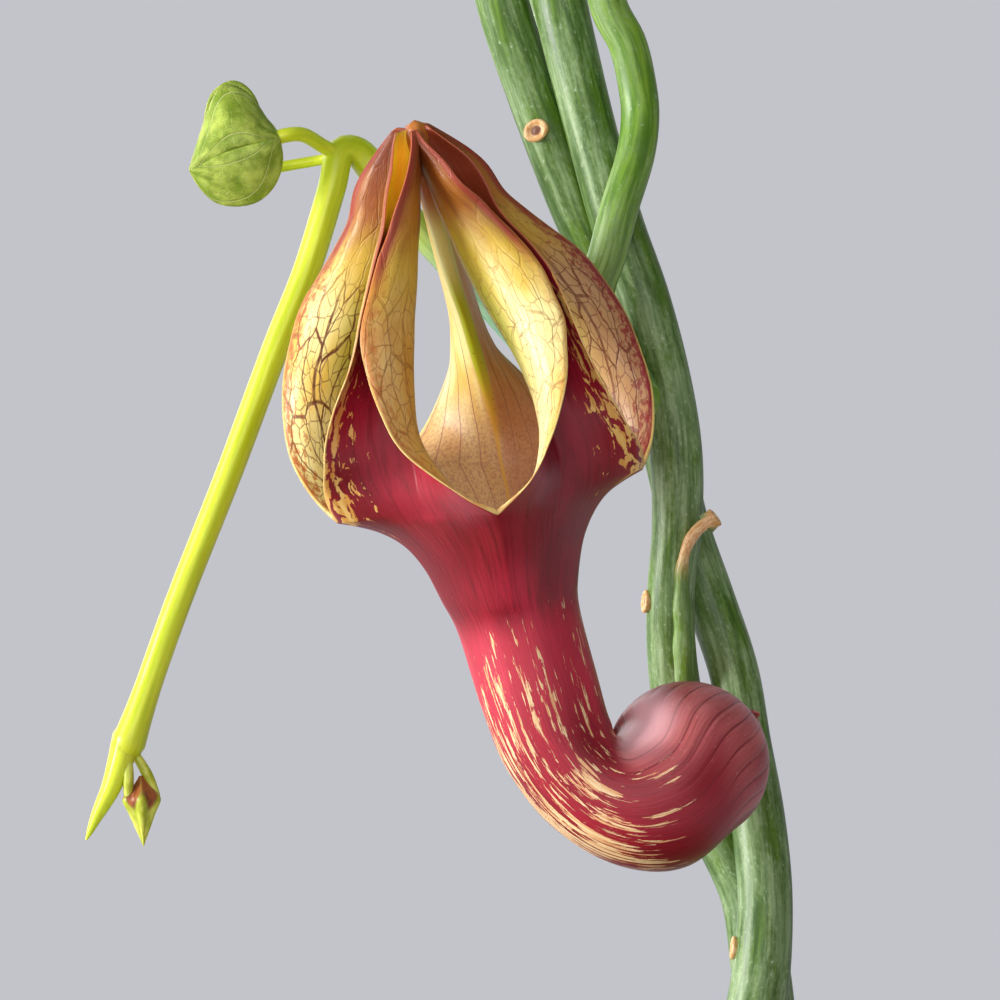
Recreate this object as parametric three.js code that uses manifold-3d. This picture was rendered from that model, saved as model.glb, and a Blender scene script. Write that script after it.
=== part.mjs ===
// A potted Ceropegia aristolochioides: two old stems twined about each other out of a plain clay pot, with
// one lantern flower in front of them, a lime-green young shoot, and pairs of heart-shaped leaves.
// Millimetres, +Z up, origin at the middle of the pot's base, the flower in front, towards -Y.

import * as THREE from 'three';
import { mergeVertices } from 'three/addons/utils/BufferGeometryUtils.js';
import Module from 'manifold-3d';

const wasm = await Module();
wasm.setup();

// Pot and soil
const POT_HEIGHT = 58;
const POT_BASE_RADIUS = 24;
const POT_RIM_RADIUS = 36;
const POT_COLLAR_HEIGHT = 15;
const POT_COLLAR_STEP = 2.6;
const POT_RIM_FLARE = 1.6;
const POT_WALL = 3.4;
const POT_INNER_STEP = 3.2;
const POT_EDGE = 0.9;
const POT_FLOOR = 4.6;
const DRAIN_RADIUS = 4.5;
const SOIL_LEVEL = 50;
const SOIL_LUMP = 0.9;
const FIT = 0.3;
const CRUMB = 0.01;
const ROOT_DEPTH = 14;

// Stems
const STEM_FOOT_RADIUS = 1.15;
const BRAID_HALF_WIDTH = 1.25;
const SOIL_HALF_WIDTH = 2.8;
const BRANCH_RADIUS = 0.76;
const LOW_SHOOT_RADIUS = 0.75;

// Corolla: a cage of five folded lobes on a funnel, a bent tube and a bulb
const MOUTH = new THREE.Vector3(-6.3, -8.6, 102.5);
const CAGE_HEIGHT = 15.1;
const CAGE_LEAN_LEFT = THREE.MathUtils.degToRad(11.3);
const CAGE_LEAN_FORWARD = THREE.MathUtils.degToRad(12.4);
const KEEL_AZIMUTHS = [-36, 36, 108, 170, 252];
const RIM_ASIDE = 0.16;
const RIM_ASIDE_LEFT = 0.13;
const RIM_ASIDE_FRONT = 0.22;
const RIM_DROP = 0.08;
const RIM_LIFT_LEFT = 0.15;
const RIM_LIFT_FRONT = 0.31;
const PETAL_WALL = 0.62;
const KNOB_RADIUS = 0.7;
const BULB_CENTRE = new THREE.Vector3(1.9, -6.0, 91.45);
const BULB_RADIUS = 3.3;
const BULB_AXIS = new THREE.Vector3(0.55, 0.7, 0.45).normalize();

// Leaves
const LEAF_THICKNESS = 0.62;
const PETIOLE_RADIUS = 0.5;

const { degToRad } = THREE.MathUtils;
const vec = (x, y, z) => new THREE.Vector3(x, y, z);

// A smooth value through [place, value] pairs: a cubic whose slopes come from the neighbours.
function through(pairs) {
  const slope = (i) => {
    const a = pairs[Math.max(i - 1, 0)];
    const b = pairs[Math.min(i + 1, pairs.length - 1)];
    return (b[1] - a[1]) / (b[0] - a[0]);
  };
  return (place) => {
    const last = pairs.length - 2;
    const found = pairs.findIndex((pair) => pair[0] > place) - 1;
    const i = found < -1 ? last : Math.max(found, 0);
    const [a, b] = [pairs[i], pairs[i + 1]];
    const span = b[0] - a[0];
    const t = THREE.MathUtils.clamp((place - a[0]) / span, 0, 1);
    const rise = (1 - t) ** 2 * t * span * slope(i) - t * t * (1 - t) * span * slope(i + 1);
    return a[1] + (b[1] - a[1]) * t * t * (3 - 2 * t) + rise;
  };
}

// Closed solid through rings of equal count, each end closed by a fan about its middle. From the ring
// number turn on, quads are split along the other diagonal, so both faces of a thin blade match.
function loft(rings, turn = Infinity) {
  const count = rings[0].length;
  const points = rings.flat();
  const index = [];
  for (let k = 0; k + 1 < rings.length; k += 1) {
    for (let j = 0; j < count; j += 1) {
      const [a, b] = [k * count + j, k * count + ((j + 1) % count)];
      const [c, d] = [a + count, b + count];
      index.push(...(k < turn ? [a, b, d, a, d, c] : [a, b, c, b, d, c]));
    }
  }
  const middle = (ring) => ring.reduce((sum, p) => sum.add(p), vec(0, 0, 0)).divideScalar(count);
  const [start, end] = [points.length, points.length + 1];
  points.push(middle(rings[0]), middle(rings[rings.length - 1]));
  for (let j = 0; j < count; j += 1) {
    const next = (j + 1) % count;
    const top = (rings.length - 1) * count;
    index.push(start, next, j, end, top + j, top + next);
  }
  return geometryOf(points, index);
}

// Thin closed blade about a grid of points: both faces lie half the thickness from it.
function slab(grid, thickness) {
  const [rows, cols] = [grid.length, grid[0].length];
  const at = (i, j) => grid[THREE.MathUtils.clamp(i, 0, rows - 1)][THREE.MathUtils.clamp(j, 0, cols - 1)];
  const offset = (i, j) => {
    const along = at(i + 1, j).clone().sub(at(i - 1, j));
    const across = at(i, j + 1).clone().sub(at(i, j - 1));
    return along.cross(across).normalize().multiplyScalar(thickness / 2);
  };
  const points = [];
  for (const sign of [1, -1]) {
    for (let i = 0; i < rows; i += 1) {
      for (let j = 0; j < cols; j += 1) {
        points.push(at(i, j).clone().addScaledVector(offset(i, j), sign));
      }
    }
  }
  const under = rows * cols;
  const index = [];
  for (let i = 0; i + 1 < rows; i += 1) {
    for (let j = 0; j + 1 < cols; j += 1) {
      const [a, b, c, d] = [i * cols + j, i * cols + j + 1, (i + 1) * cols + j, (i + 1) * cols + j + 1];
      index.push(a, c, d, a, d, b, under + a, under + d, under + c, under + a, under + b, under + d);
    }
  }
  const rim = [];
  for (let j = 0; j < cols; j += 1) rim.push(j);
  for (let i = 1; i < rows; i += 1) rim.push(i * cols + cols - 1);
  for (let j = cols - 2; j >= 0; j -= 1) rim.push((rows - 1) * cols + j);
  for (let i = rows - 2; i > 0; i -= 1) rim.push(i * cols);
  rim.forEach((a, k) => {
    const b = rim[(k + 1) % rim.length];
    index.push(a, b, under + b, a, under + b, under + a);
  });
  return geometryOf(points, index);
}

function geometryOf(points, index) {
  const geometry = new THREE.BufferGeometry();
  geometry.setAttribute('position', new THREE.Float32BufferAttribute(points.flatMap((p) => p.toArray()), 3));
  geometry.setIndex(index);
  return geometry;
}

// Ring of points round a centre, across a direction, with the radius given for each angle.
function ringAt(centre, direction, radiusAt, sides, side = vec(1, 0, 0)) {
  const u = side.clone().addScaledVector(direction, -side.dot(direction)).normalize();
  const v = direction.clone().cross(u);
  return Array.from({ length: sides }, (_, j) => {
    const angle = (2 * Math.PI * j) / sides;
    const radius = radiusAt(angle);
    return centre.clone().addScaledVector(u, radius * Math.cos(angle))
      .addScaledVector(v, radius * Math.sin(angle));
  });
}

// Round rod along a smooth curve through the given points; its radius follows the share of its length, and
// may follow the place.
function rod(points, radiusAt, sides, steps) {
  const curve = new THREE.CatmullRomCurve3(points, false, 'centripetal');
  const { tangents, normals, binormals } = curve.computeFrenetFrames(steps, false);
  const rings = tangents.map((_, k) => {
    const centre = curve.getPointAt(k / steps);
    const radius = radiusAt(k / steps, centre);
    return Array.from({ length: sides }, (_unused, j) => {
      const angle = (2 * Math.PI * j) / sides;
      return centre.clone().addScaledVector(normals[k], radius * Math.cos(angle))
        .addScaledVector(binormals[k], radius * Math.sin(angle));
    });
  });
  return loft(rings);
}

// Solids for joining and cutting
function solidOf(geometry) {
  const bare = geometry.clone();
  bare.deleteAttribute('normal');
  bare.deleteAttribute('uv');
  const merged = mergeVertices(bare);
  return new wasm.Manifold(new wasm.Mesh({
    numProp: 3,
    vertProperties: new Float32Array(merged.attributes.position.array),
    triVerts: new Uint32Array(merged.index.array),
  }));
}

function geometryFrom(solid) {
  const { vertProperties, triVerts, numProp } = solid.getMesh();
  const points = [];
  for (let k = 0; k < vertProperties.length; k += numProp) {
    points.push(vec(vertProperties[k], vertProperties[k + 1], vertProperties[k + 2]));
  }
  return geometryOf(points, Array.from(triVerts));
}

// One solid of all the pieces: sealed pockets between touching blades are filled, loose crumbs dropped
function joined(geometries) {
  const whole = geometries.map(solidOf).reduce((sum, piece) => sum.add(piece));
  return geometryFrom(wasm.Manifold.compose(whole.decompose().filter((shell) => shell.volume() > CRUMB)));
}

function withHoles(geometry, holes) {
  return geometryFrom(holes.map(solidOf).reduce((whole, hole) => whole.subtract(hole), solidOf(geometry)));
}

const group = new THREE.Group();

function place(name, geometry, color, roughness = 0.6) {
  geometry.computeVertexNormals();
  const mesh = new THREE.Mesh(geometry, new THREE.MeshStandardMaterial({ color, roughness, metalness: 0 }));
  mesh.name = name;
  group.add(mesh);
}

// Pot: a turned wall with a collar and a drainage hole
function pot() {
  const collarFoot = POT_HEIGHT - POT_COLLAR_HEIGHT;
  const collar = POT_RIM_RADIUS - POT_RIM_FLARE;
  const inner = POT_RIM_RADIUS - POT_WALL;
  const profile = [
    [DRAIN_RADIUS, 0], [POT_BASE_RADIUS - POT_EDGE, 0], [POT_BASE_RADIUS, POT_EDGE],
    [collar - POT_COLLAR_STEP, collarFoot], [collar, collarFoot + POT_EDGE],
    [POT_RIM_RADIUS, POT_HEIGHT - 1.5 * POT_EDGE], [POT_RIM_RADIUS - 1.4 * POT_EDGE, POT_HEIGHT],
    [inner + POT_EDGE, POT_HEIGHT], [inner, POT_HEIGHT - POT_EDGE], [inner - POT_INNER_STEP, collarFoot],
    [POT_BASE_RADIUS - POT_WALL, POT_FLOOR], [DRAIN_RADIUS, POT_FLOOR], [DRAIN_RADIUS, 0],
  ];
  return new THREE.LatheGeometry(profile.map(([r, z]) => new THREE.Vector2(r, z)), 36).rotateX(Math.PI / 2);
}

// Inner radius of the pot at a height, less the fit
function soilRadius(z) {
  const collarFoot = POT_HEIGHT - POT_COLLAR_HEIGHT;
  const low = [POT_BASE_RADIUS - POT_WALL, POT_FLOOR];
  const mid = [POT_RIM_RADIUS - POT_WALL - POT_INNER_STEP, collarFoot];
  const high = [POT_RIM_RADIUS - POT_WALL, POT_HEIGHT - POT_EDGE];
  const [a, b] = z < collarFoot ? [low, mid] : [mid, high];
  return a[0] + ((b[0] - a[0]) * (z - a[1])) / (b[1] - a[1]) - 1.5 * FIT;
}

// Height of the soil's lumpy top: three crossed waves of different lengths
function soilHeight(x, y) {
  const long = Math.sin(0.31 * x + 1.2) * Math.cos(0.27 * y - 0.6);
  const short = Math.sin(0.83 * x - 0.5 * y) * Math.cos(0.71 * y + 0.42 * x + 2.0);
  return SOIL_LEVEL + SOIL_LUMP * (0.55 * long + 0.45 * short);
}

function soil(roots) {
  const sides = 36;
  const flatRing = (radius, z) => ringAt(vec(0, 0, z), vec(0, 0, 1), () => radius, sides);
  const top = (radius) => flatRing(radius, 0).map((p) => vec(p.x, p.y, soilHeight(p.x, p.y)));
  const collarFoot = POT_HEIGHT - POT_COLLAR_HEIGHT;
  const rings = [
    flatRing(soilRadius(POT_FLOOR + FIT), POT_FLOOR + FIT), flatRing(soilRadius(collarFoot), collarFoot),
    ...[1, 0.8, 0.6, 0.4, 0.2].map((share) => top(share * soilRadius(SOIL_LEVEL - 1.2))),
  ];
  const holes = roots.map(({ x, y, radius }) => {
    const [from, to] = [SOIL_LEVEL - ROOT_DEPTH - FIT, SOIL_LEVEL + 4];
    return new THREE.CylinderGeometry(radius + FIT, radius + FIT, to - from, 16)
      .rotateX(Math.PI / 2).translate(x, y, (from + to) / 2);
  });
  return withHoles(loft(rings), holes);
}

// The braid: its middle line and the way the left stem faces from it, both by height
const braidX = through([
  [SOIL_LEVEL, 1.5], [66, 3.4], [76, 4.6], [82, 4.95], [86, 4.8], [89.2, 3.9], [92.4, 3.1], [95.6, 2.55],
  [98, 2.1], [102.8, 1.5], [106, 1.05], [110, -0.15], [113.6, -1.7], [116.8, -2.75], [122, -4.3],
  [130, -5.6], [140, -6.0], [150, -4.6], [160, -2.4], [172, 0.6],
]);
const braidY = through([[SOIL_LEVEL, 0], [75, 0.2], [100, 0.25], [122, 0.2], [145, 1.2], [172, -0.6]]);
const braidTurn = through([
  [SOIL_LEVEL, -245], [66, -195], [76, -135], [82, -95], [86, -77], [89.2, -45], [92.4, -17], [95.6, 16],
  [97.6, 44], [99.8, 72], [103, 94], [106, 99], [110, 109], [113.6, 124], [116.8, 136], [122, 160],
  [132, 225], [142, 300], [152, 375], [162, 440],
]);
const braidWidth = through([
  [SOIL_LEVEL, SOIL_HALF_WIDTH], [57, 1.8], [63, 1.45], [84, 1.4], [92, BRAID_HALF_WIDTH],
  [172, BRAID_HALF_WIDTH],
]);
const stemRadius = through([[80, STEM_FOOT_RADIUS], [90, 1.02], [98, 0.92], [105, 0.98], [118, 1.02]]);

// Point on one of the two twined stems: side is 1 for the left stem and -1 for the right one.
function braidPoint(side, z) {
  const angle = degToRad(braidTurn(z));
  const width = side * braidWidth(z);
  return vec(braidX(z) + width * Math.cos(angle), braidY(z) + width * Math.sin(angle), z);
}

function braidPath(side, from, to, step) {
  const points = [];
  for (let z = from; z < to; z += step) points.push(braidPoint(side, z));
  return points;
}

const rootPoint = (point) => vec(point.x, point.y, SOIL_LEVEL - ROOT_DEPTH);

// A thick stem from its hole in the soil up the braid and out into a thin searching end
function thickStem(side, braidTop, end) {
  const foot = braidPoint(side, SOIL_LEVEL);
  const braid = braidPath(side, SOIL_LEVEL, braidTop, 3);
  const path = [rootPoint(foot), foot.clone().setZ(SOIL_LEVEL - 3), ...braid, ...end];
  const taper = through([[0, 1], [0.6, 1], [0.8, 0.83], [0.93, 0.52], [1, 0.19]]);
  return rod(path, (t, centre) => taper(t) * stemRadius(centre.z), 9, 50);
}

// A round scar where a leaf stalk fell off: a short stub with a slightly raised end
function scar(at, out, radius = 0.44, length = 0.9) {
  const direction = out.clone().normalize();
  const start = at.clone().addScaledVector(direction, -length);
  const profile = [[0, 1.1], [length * 0.9, 0.9], [length * 1.25, 1.0], [length * 1.35, 0.8]];
  const station = (along) => start.clone().addScaledVector(direction, along);
  return loft(profile.map(([along, share]) =>
    ringAt(station(along), direction, () => radius * share, 8, vec(0.1, 1, 0.2))));
}

// Scars seat on the stem's skin, out from its middle line at a height
function scarOnStem(side, z, out, radius, length) {
  const direction = out.clone().normalize();
  return scar(braidPoint(side, z).addScaledVector(direction, stemRadius(z)), direction, radius, length);
}

const LEFT_END = [
  vec(-6.6, -1.6, 146), vec(-8.2, -2.2, 151), vec(-7.8, -2.9, 156), vec(-5.8, -1.9, 161), vec(-5.6, 0.4, 165),
];
const RIGHT_END = [
  vec(-2.6, 2.6, 157), vec(0.4, 2.8, 162), vec(2.6, 0.8, 167), vec(1.8, -1.8, 171), vec(-0.4, -1.4, 175),
];
const BACK_BRANCH = [
  vec(-2.9, 1.0, 114.5), vec(-2.9, 2.9, 116.8), vec(-3.7, 3.6, 122), vec(-4.2, 5.2, 128), vec(-4.6, 7.4, 134),
  vec(-4.4, 8.8, 139),
];
const FRONT_BRANCH = [
  vec(1.45, -0.6, 105.1), vec(-0.2, -1.8, 106.8), vec(-1.5, -2.6, 108.6), vec(-1.75, -3.1, 110.4),
  vec(-1.3, -3.6, 111.8), vec(-0.84, -3.6, 113.6), vec(-0.12, -2.8, 116), vec(0.05, -2.4, 117.6),
  vec(-0.08, -2.3, 118.8), vec(-0.46, -2.3, 120.4), vec(-1.24, -2.2, 122), vec(-1.5, -2.6, 126),
  vec(1.4, -3.4, 131), vec(5.4, -3.2, 135), vec(8.2, -2.0, 139), vec(8.6, -0.4, 143.5),
];
const OLD_FLOWER_STALK = [
  vec(1.83, -0.4, 94.4), vec(1.8, -0.9, 95.8), vec(1.77, -1.2, 97.0), vec(1.71, -1.55, 98.3),
  vec(1.77, -1.85, 99.4), vec(2.02, -2.05, 100.3), vec(2.47, -2.1, 100.9), vec(2.9, -2.05, 101.15),
];

function leftStem() {
  const branch = rod(BACK_BRANCH, (t) => 0.9 - 0.62 * t * t, 7, 20);
  return joined([
    thickStem(1, 142, LEFT_END), branch,
    scarOnStem(1, 116.9, vec(-0.45, -1, 0.05), 0.5, 0.8),
    scarOnStem(1, 83.8, vec(-1, -0.1, 0.1)),
  ]);
}

function rightStem() {
  const branch = rod(FRONT_BRANCH, (t) => BRANCH_RADIUS - 0.5 * Math.max(t - 0.4, 0) ** 1.3, 8, 34);
  const stalkRadius = through([[0, 0.5], [0.4, 0.42], [0.7, 0.27], [1, 0.27]]);
  const oldStalk = rod(OLD_FLOWER_STALK, stalkRadius, 7, 12);
  const cup = scar(vec(3.0, -2.0, 101.25), vec(0.75, 0.2, 0.6), 0.36, 0.5);
  const leafScar = scarOnStem(-1, 97.8, vec(-1, -0.25, 0.1));
  return joined([thickStem(-1, 154, RIGHT_END), branch, oldStalk, cup, leafScar]);
}

// Lime-green young shoot: from the braid, behind the flower, over its hook and down to the left
const LIME_SHOOT = [
  vec(-0.65, -1.0, 103.6), vec(-2.5, -0.7, 105.8), vec(-5.6, -0.6, 109.4),
  vec(-8.5, -0.3, 112.5), vec(-10.6, 0, 115.2), vec(-11.4, -0.1, 116.1), vec(-12.0, -0.4, 116.1),
  vec(-12.4, -0.8, 114.6), vec(-13.4, -1.0, 111.3), vec(-14.6, -1.1, 108.3), vec(-16.5, -1.2, 103.2),
  vec(-18.7, -1.2, 97.6), vec(-20.6, -1.1, 92.2),
];
const SHOOT_TIP = [
  vec(-20.6, -1.1, 92.2), vec(-21.2, -1.1, 90.9), vec(-21.9, -1.1, 89.4), vec(-22.3, -1.1, 88.4),
];

function limeShoot() {
  const swell = through([[0, 0.62], [0.5, 0.6], [0.93, 0.54], [0.97, 0.62], [1, 0.66]]);
  const nodePath = [vec(-10.9, 0, 115.5), vec(-11.2, 0, 115.8), vec(-11.5, -0.1, 116.1)];
  const nodeSwell = rod(nodePath, () => 0.72, 8, 3);
  const tip = rod(SHOOT_TIP, through([[0, 0.6], [0.3, 0.46], [0.7, 0.32], [1, 0.1]]), 7, 5);
  return joined([rod(LIME_SHOOT, swell, 8, 30), nodeSwell, tip]);
}

// Angular bud: a five-ridged spindle, widest at its shoulders, on two short stalks
const BUD_TOP = vec(-20.1, -1.1, 90.75);
const BUD_POINT = vec(-20.0, -1.1, 88.05);
const BUD_STALKS = [
  [vec(-20.3, -1.2, 91.05), vec(-20.36, -1.25, 90.6), vec(-20.4, -1.2, 90.1)],
  [vec(-19.95, -1.0, 91.05), vec(-19.75, -1.0, 90.6), vec(-19.6, -1.05, 90.15)],
];

function bud() {
  const radius = through([
    [0, 0.12], [0.12, 0.34], [0.26, 0.66], [0.34, 0.7], [0.5, 0.52], [0.75, 0.27], [1, 0.04],
  ]);
  const direction = BUD_POINT.clone().sub(BUD_TOP).normalize();
  const ribbed = (t) => (angle) => radius(t) * (1 + 0.14 * Math.cos(5 * angle));
  const rings = [0, 0.12, 0.22, 0.34, 0.5, 0.7, 0.88, 1].map((t) =>
    ringAt(BUD_TOP.clone().lerp(BUD_POINT, t), direction, ribbed(t), 10));
  return joined([loft(rings), ...BUD_STALKS.map((points) => rod(points, () => 0.17, 6, 4))]);
}

// Corolla frame: up the cage, to the right of it, and out of it towards the viewer
const UP = vec(
  -Math.sin(CAGE_LEAN_LEFT) * Math.cos(CAGE_LEAN_FORWARD), -Math.sin(CAGE_LEAN_FORWARD),
  Math.cos(CAGE_LEAN_LEFT) * Math.cos(CAGE_LEAN_FORWARD),
);
const RIGHT = vec(Math.cos(CAGE_LEAN_LEFT), 0, Math.sin(CAGE_LEAN_LEFT));
const FRONT = RIGHT.clone().cross(UP);
const VIEWER = vec(0, -1, 0);

const marginRadius = through([
  [0, 6.6], [0.07, 7.1], [0.17, 7.4], [0.25, 7.36], [0.37, 7.1], [0.48, 6.48], [0.557, 5.84], [0.637, 4.8],
  [0.695, 4.05], [0.76, 3.3], [0.84, 2.8], [0.89, 2.25], [0.94, 1.5], [1, 0.5],
]);
const keelRadius = through([
  [0, 4.75], [0.05, 5.05], [0.1, 5.15], [0.2, 5.05], [0.3, 4.65], [0.4, 3.95], [0.5, 2.95], [0.6, 2.1],
  [0.7, 1.45], [0.8, 0.85], [1, 0.1],
]);
const KEEL_SHARES = [0.9, 1, 1, 1, 1];
const bellyOut = through([[0, 0], [0.2, 0.32], [0.45, 0.6], [0.65, 0.5], [0.85, 0.25], [1, 0.05]]);
const BELLY_SHARES = [[1, 1.3], [0.75, 1], [1, 1], [0.2, 0.6], [1, 1]];
const MARGIN_SINK = 1.75;
const KEEL_SINK = 0.65;

// Angle from keel to margin, by height, for the left and right half of each lobe
const plainFold = (corner) => through([
  [0, corner], [0.1, 0.7 * corner], [0.2, 16], [0.3, 9], [0.4, 4.5], [0.5, 2.5], [1, 2.3],
]);
const FOLDS = [
  [
    through([
      [0, 36], [0.1, 28], [0.175, 20.4], [0.254, 16], [0.348, 10], [0.444, 3.6], [0.52, 0.8], [0.7, 0.2],
      [0.8, -3], [0.87, -5], [0.91, -5], [0.95, 2], [1, 20],
    ]),
    through([
      [0, 36], [0.05, 29], [0.1, 24], [0.151, 19.5], [0.24, 12.4], [0.345, 7.7], [0.444, 3.4], [0.52, 0.4],
      [0.6, 0], [0.7, 0.6], [0.75, 4], [0.8, 9], [0.864, 18], [0.933, 27], [1, 36],
    ]),
  ],
  [
    through([
      [0, 36], [0.083, 22.6], [0.18, 13.1], [0.272, 5.1], [0.337, 0.6], [0.406, -3.2], [0.468, -7.4],
      [0.542, -9.5], [0.607, -13.8], [0.667, -15.7], [0.722, -14.8], [0.782, -11], [0.849, 1.5],
      [0.916, 5], [0.965, 14], [1, 16],
    ]),
    through([
      [0, 36], [0.08, 27], [0.155, 18.7], [0.281, 12.4], [0.387, 9.8], [0.466, 10.8], [0.54, 13],
      [0.607, 17.3], [0.667, 19.4], [0.722, 18.8], [0.8, 21.7], [0.85, 24], [0.885, 28], [0.92, 28], [1, 24],
    ]),
  ],
  [plainFold(36), plainFold(31)],
  [
    through([[0, 31], [0.1, 17], [0.195, 8], [0.27, 2.4], [0.385, -1], [0.6, -1], [1, 1]]),
    through([[0, 41], [0.1, 25], [0.2, 15], [0.3, 9.5], [0.4, 6], [0.5, 4.4], [1, 3]]),
  ],
  [plainFold(41), plainFold(36)],
];

const gapBefore = (i) => {
  const [a, b] = [KEEL_AZIMUTHS[i], KEEL_AZIMUTHS[(i + 4) % 5]];
  return ((a - b + 720) % 360) / 2;
};
const gapAfter = (i) => gapBefore((i + 1) % 5);

// How far the mouth's rim stands off its plain ring: aside, least at its right, and up but at its back
function rimTilt(azimuth) {
  const [left, front] = [-Math.sin(azimuth), Math.max(Math.cos(azimuth), 0)];
  const aside = RIM_ASIDE + RIM_ASIDE_LEFT * left + RIM_ASIDE_FRONT * front;
  const lift = RIM_LIFT_FRONT * front + RIM_LIFT_LEFT * left - RIM_DROP;
  return RIGHT.clone().multiplyScalar(aside).addScaledVector(UP, lift);
}

// Point on half of a folded lobe: t runs up the cage, q from the keel inside to the margin outside. The
// half is a chord between the two, swelled towards the window beside it; its foot sinks into the funnel.
function lobePoint(i, side, t, q) {
  const half = side > 0 ? 1 : 0;
  const spread = degToRad(FOLDS[i][half](t));
  const sunk = Math.max(-t, 0) * CAGE_HEIGHT;
  const keel = keelRadius(t) * KEEL_SHARES[i] - KEEL_SINK * sunk;
  const margin = marginRadius(t) - MARGIN_SINK * sunk;
  const [out, across] = [margin * Math.cos(spread), margin * Math.sin(spread)];
  const length = Math.hypot(out - keel, across);
  const belly = bellyOut(t) * BELLY_SHARES[i][half] * 4 * q * (1 - q);
  const radial = keel + (out - keel) * q - (belly * across) / length;
  const lateral = across * q + (belly * (out - keel)) / length;
  const azimuth = degToRad(KEEL_AZIMUTHS[i]);
  const tilt = rimTilt(azimuth + side * spread * q);
  return MOUTH.clone().addScaledVector(UP, CAGE_HEIGHT * t)
    .addScaledVector(FRONT, radial * Math.cos(azimuth) - side * lateral * Math.sin(azimuth))
    .addScaledVector(RIGHT, radial * Math.sin(azimuth) + side * lateral * Math.cos(azimuth))
    .addScaledVector(tilt, 1 - THREE.MathUtils.smoothstep(t, 0, 0.3));
}

function halfLobe(i, side) {
  const rows = [-0.07, 0.0, 0.05, 0.11, 0.18, 0.26, 0.35, 0.44, 0.53, 0.62, 0.71, 0.8, 0.88, 0.96];
  const columns = [0, 0.22, 0.5, 0.78, 1];
  return slab(rows.map((t) => columns.map((q) => lobePoint(i, side, t, side > 0 ? q : 1 - q))), PETAL_WALL);
}

// Tube stations down from the mouth: middle, direction the tube runs, corner radius, mid-side radius, and
// the share of the rim's tilt
const down = (depth, aside = 0) => MOUTH.clone().addScaledVector(UP, -depth).addScaledVector(RIGHT, aside);
const DOWN = UP.clone().negate();
const bulbStation = (degrees) => {
  const angle = degToRad(degrees);
  const radius = BULB_RADIUS * Math.sin(angle);
  const centre = BULB_CENTRE.clone().addScaledVector(BULB_AXIS, BULB_RADIUS * Math.cos(angle));
  return [centre, BULB_AXIS, radius, radius];
};
const TUBE = [
  [down(0), DOWN, 6.6, 4.75, 1], [down(0.35, 0.05), DOWN, 5.75, 4.6, 0.85],
  [down(0.8, 0.15), DOWN, 4.9, 4.25, 0.6], [down(1.5, 0.3), DOWN, 4.1, 3.75, 0.25],
  [down(2.6, 0.34), DOWN, 3.4, 3.2], [down(4.2, 0.3), DOWN, 2.85, 2.75],
  [vec(-4.9, -7.5, 97.4), vec(0.22, 0.12, -0.97), 2.52, 2.5],
  [vec(-3.98, -7.3, 94.2), vec(0.27, 0.06, -0.96), 2.4, 2.4],
  [vec(-3.36, -7.2, 92.48), vec(0.51, 0.04, -0.86), 2.33, 2.33],
  [vec(-2.48, -7.15, 91.16), vec(0.83, 0.04, -0.56), 2.36, 2.36],
  [vec(-1.36, -7.1, 90.2), vec(0.98, 0.08, -0.13), 2.52, 2.52],
  [vec(-0.32, -7.0, 89.85), vec(0.96, 0.2, 0.19), 2.75, 2.75],
  [vec(0.72, -6.75, 90.2), vec(0.82, 0.45, 0.35), 3.1, 3.1],
  ...[100, 75, 50, 27].map(bulbStation),
];
const POCKET_STATIONS = 8;
const HALF_COLUMNS = 2;

// Ring of the tube: the radius swells from each mid-side to the corners between the lobes
function tubeRing([centre, direction, corner, middle, tilt = 0], inset = 0) {
  const axis = direction.clone().normalize();
  const front = VIEWER.clone().addScaledVector(axis, -VIEWER.dot(axis)).normalize();
  const right = front.clone().cross(axis);
  const ring = [];
  KEEL_AZIMUTHS.forEach((keel, i) => {
    for (let k = -HALF_COLUMNS; k < HALF_COLUMNS; k += 1) {
      const share = k / HALF_COLUMNS;
      const azimuth = degToRad(keel + share * (k < 0 ? gapBefore(i) : gapAfter(i)));
      const radius = middle + (corner - middle) * share * share - inset;
      ring.push(centre.clone().addScaledVector(front, radius * Math.cos(azimuth))
        .addScaledVector(right, radius * Math.sin(azimuth)).addScaledVector(rimTilt(azimuth), tilt));
    }
  });
  return ring;
}

function corolla() {
  const outside = TUBE.map((station) => tubeRing(station)).reverse();
  const inside = TUBE.slice(0, POCKET_STATIONS).map((station) => tubeRing(station, PETAL_WALL + 0.1));
  const halves = KEEL_AZIMUTHS.flatMap((_, i) => [halfLobe(i, -1), halfLobe(i, 1)]);
  const knob = new THREE.IcosahedronGeometry(KNOB_RADIUS, 1).scale(1, 1, 0.8)
    .translate(...MOUTH.clone().addScaledVector(UP, CAGE_HEIGHT * 0.965).toArray());
  return joined([loft([...outside, ...inside]), ...halves, knob]);
}

// Calyx and flower stalk behind the bulb
const BULB_POLE = BULB_CENTRE.clone().addScaledVector(BULB_AXIS, BULB_RADIUS);
const STALK_FOOT_Z = 92.4;

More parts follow.
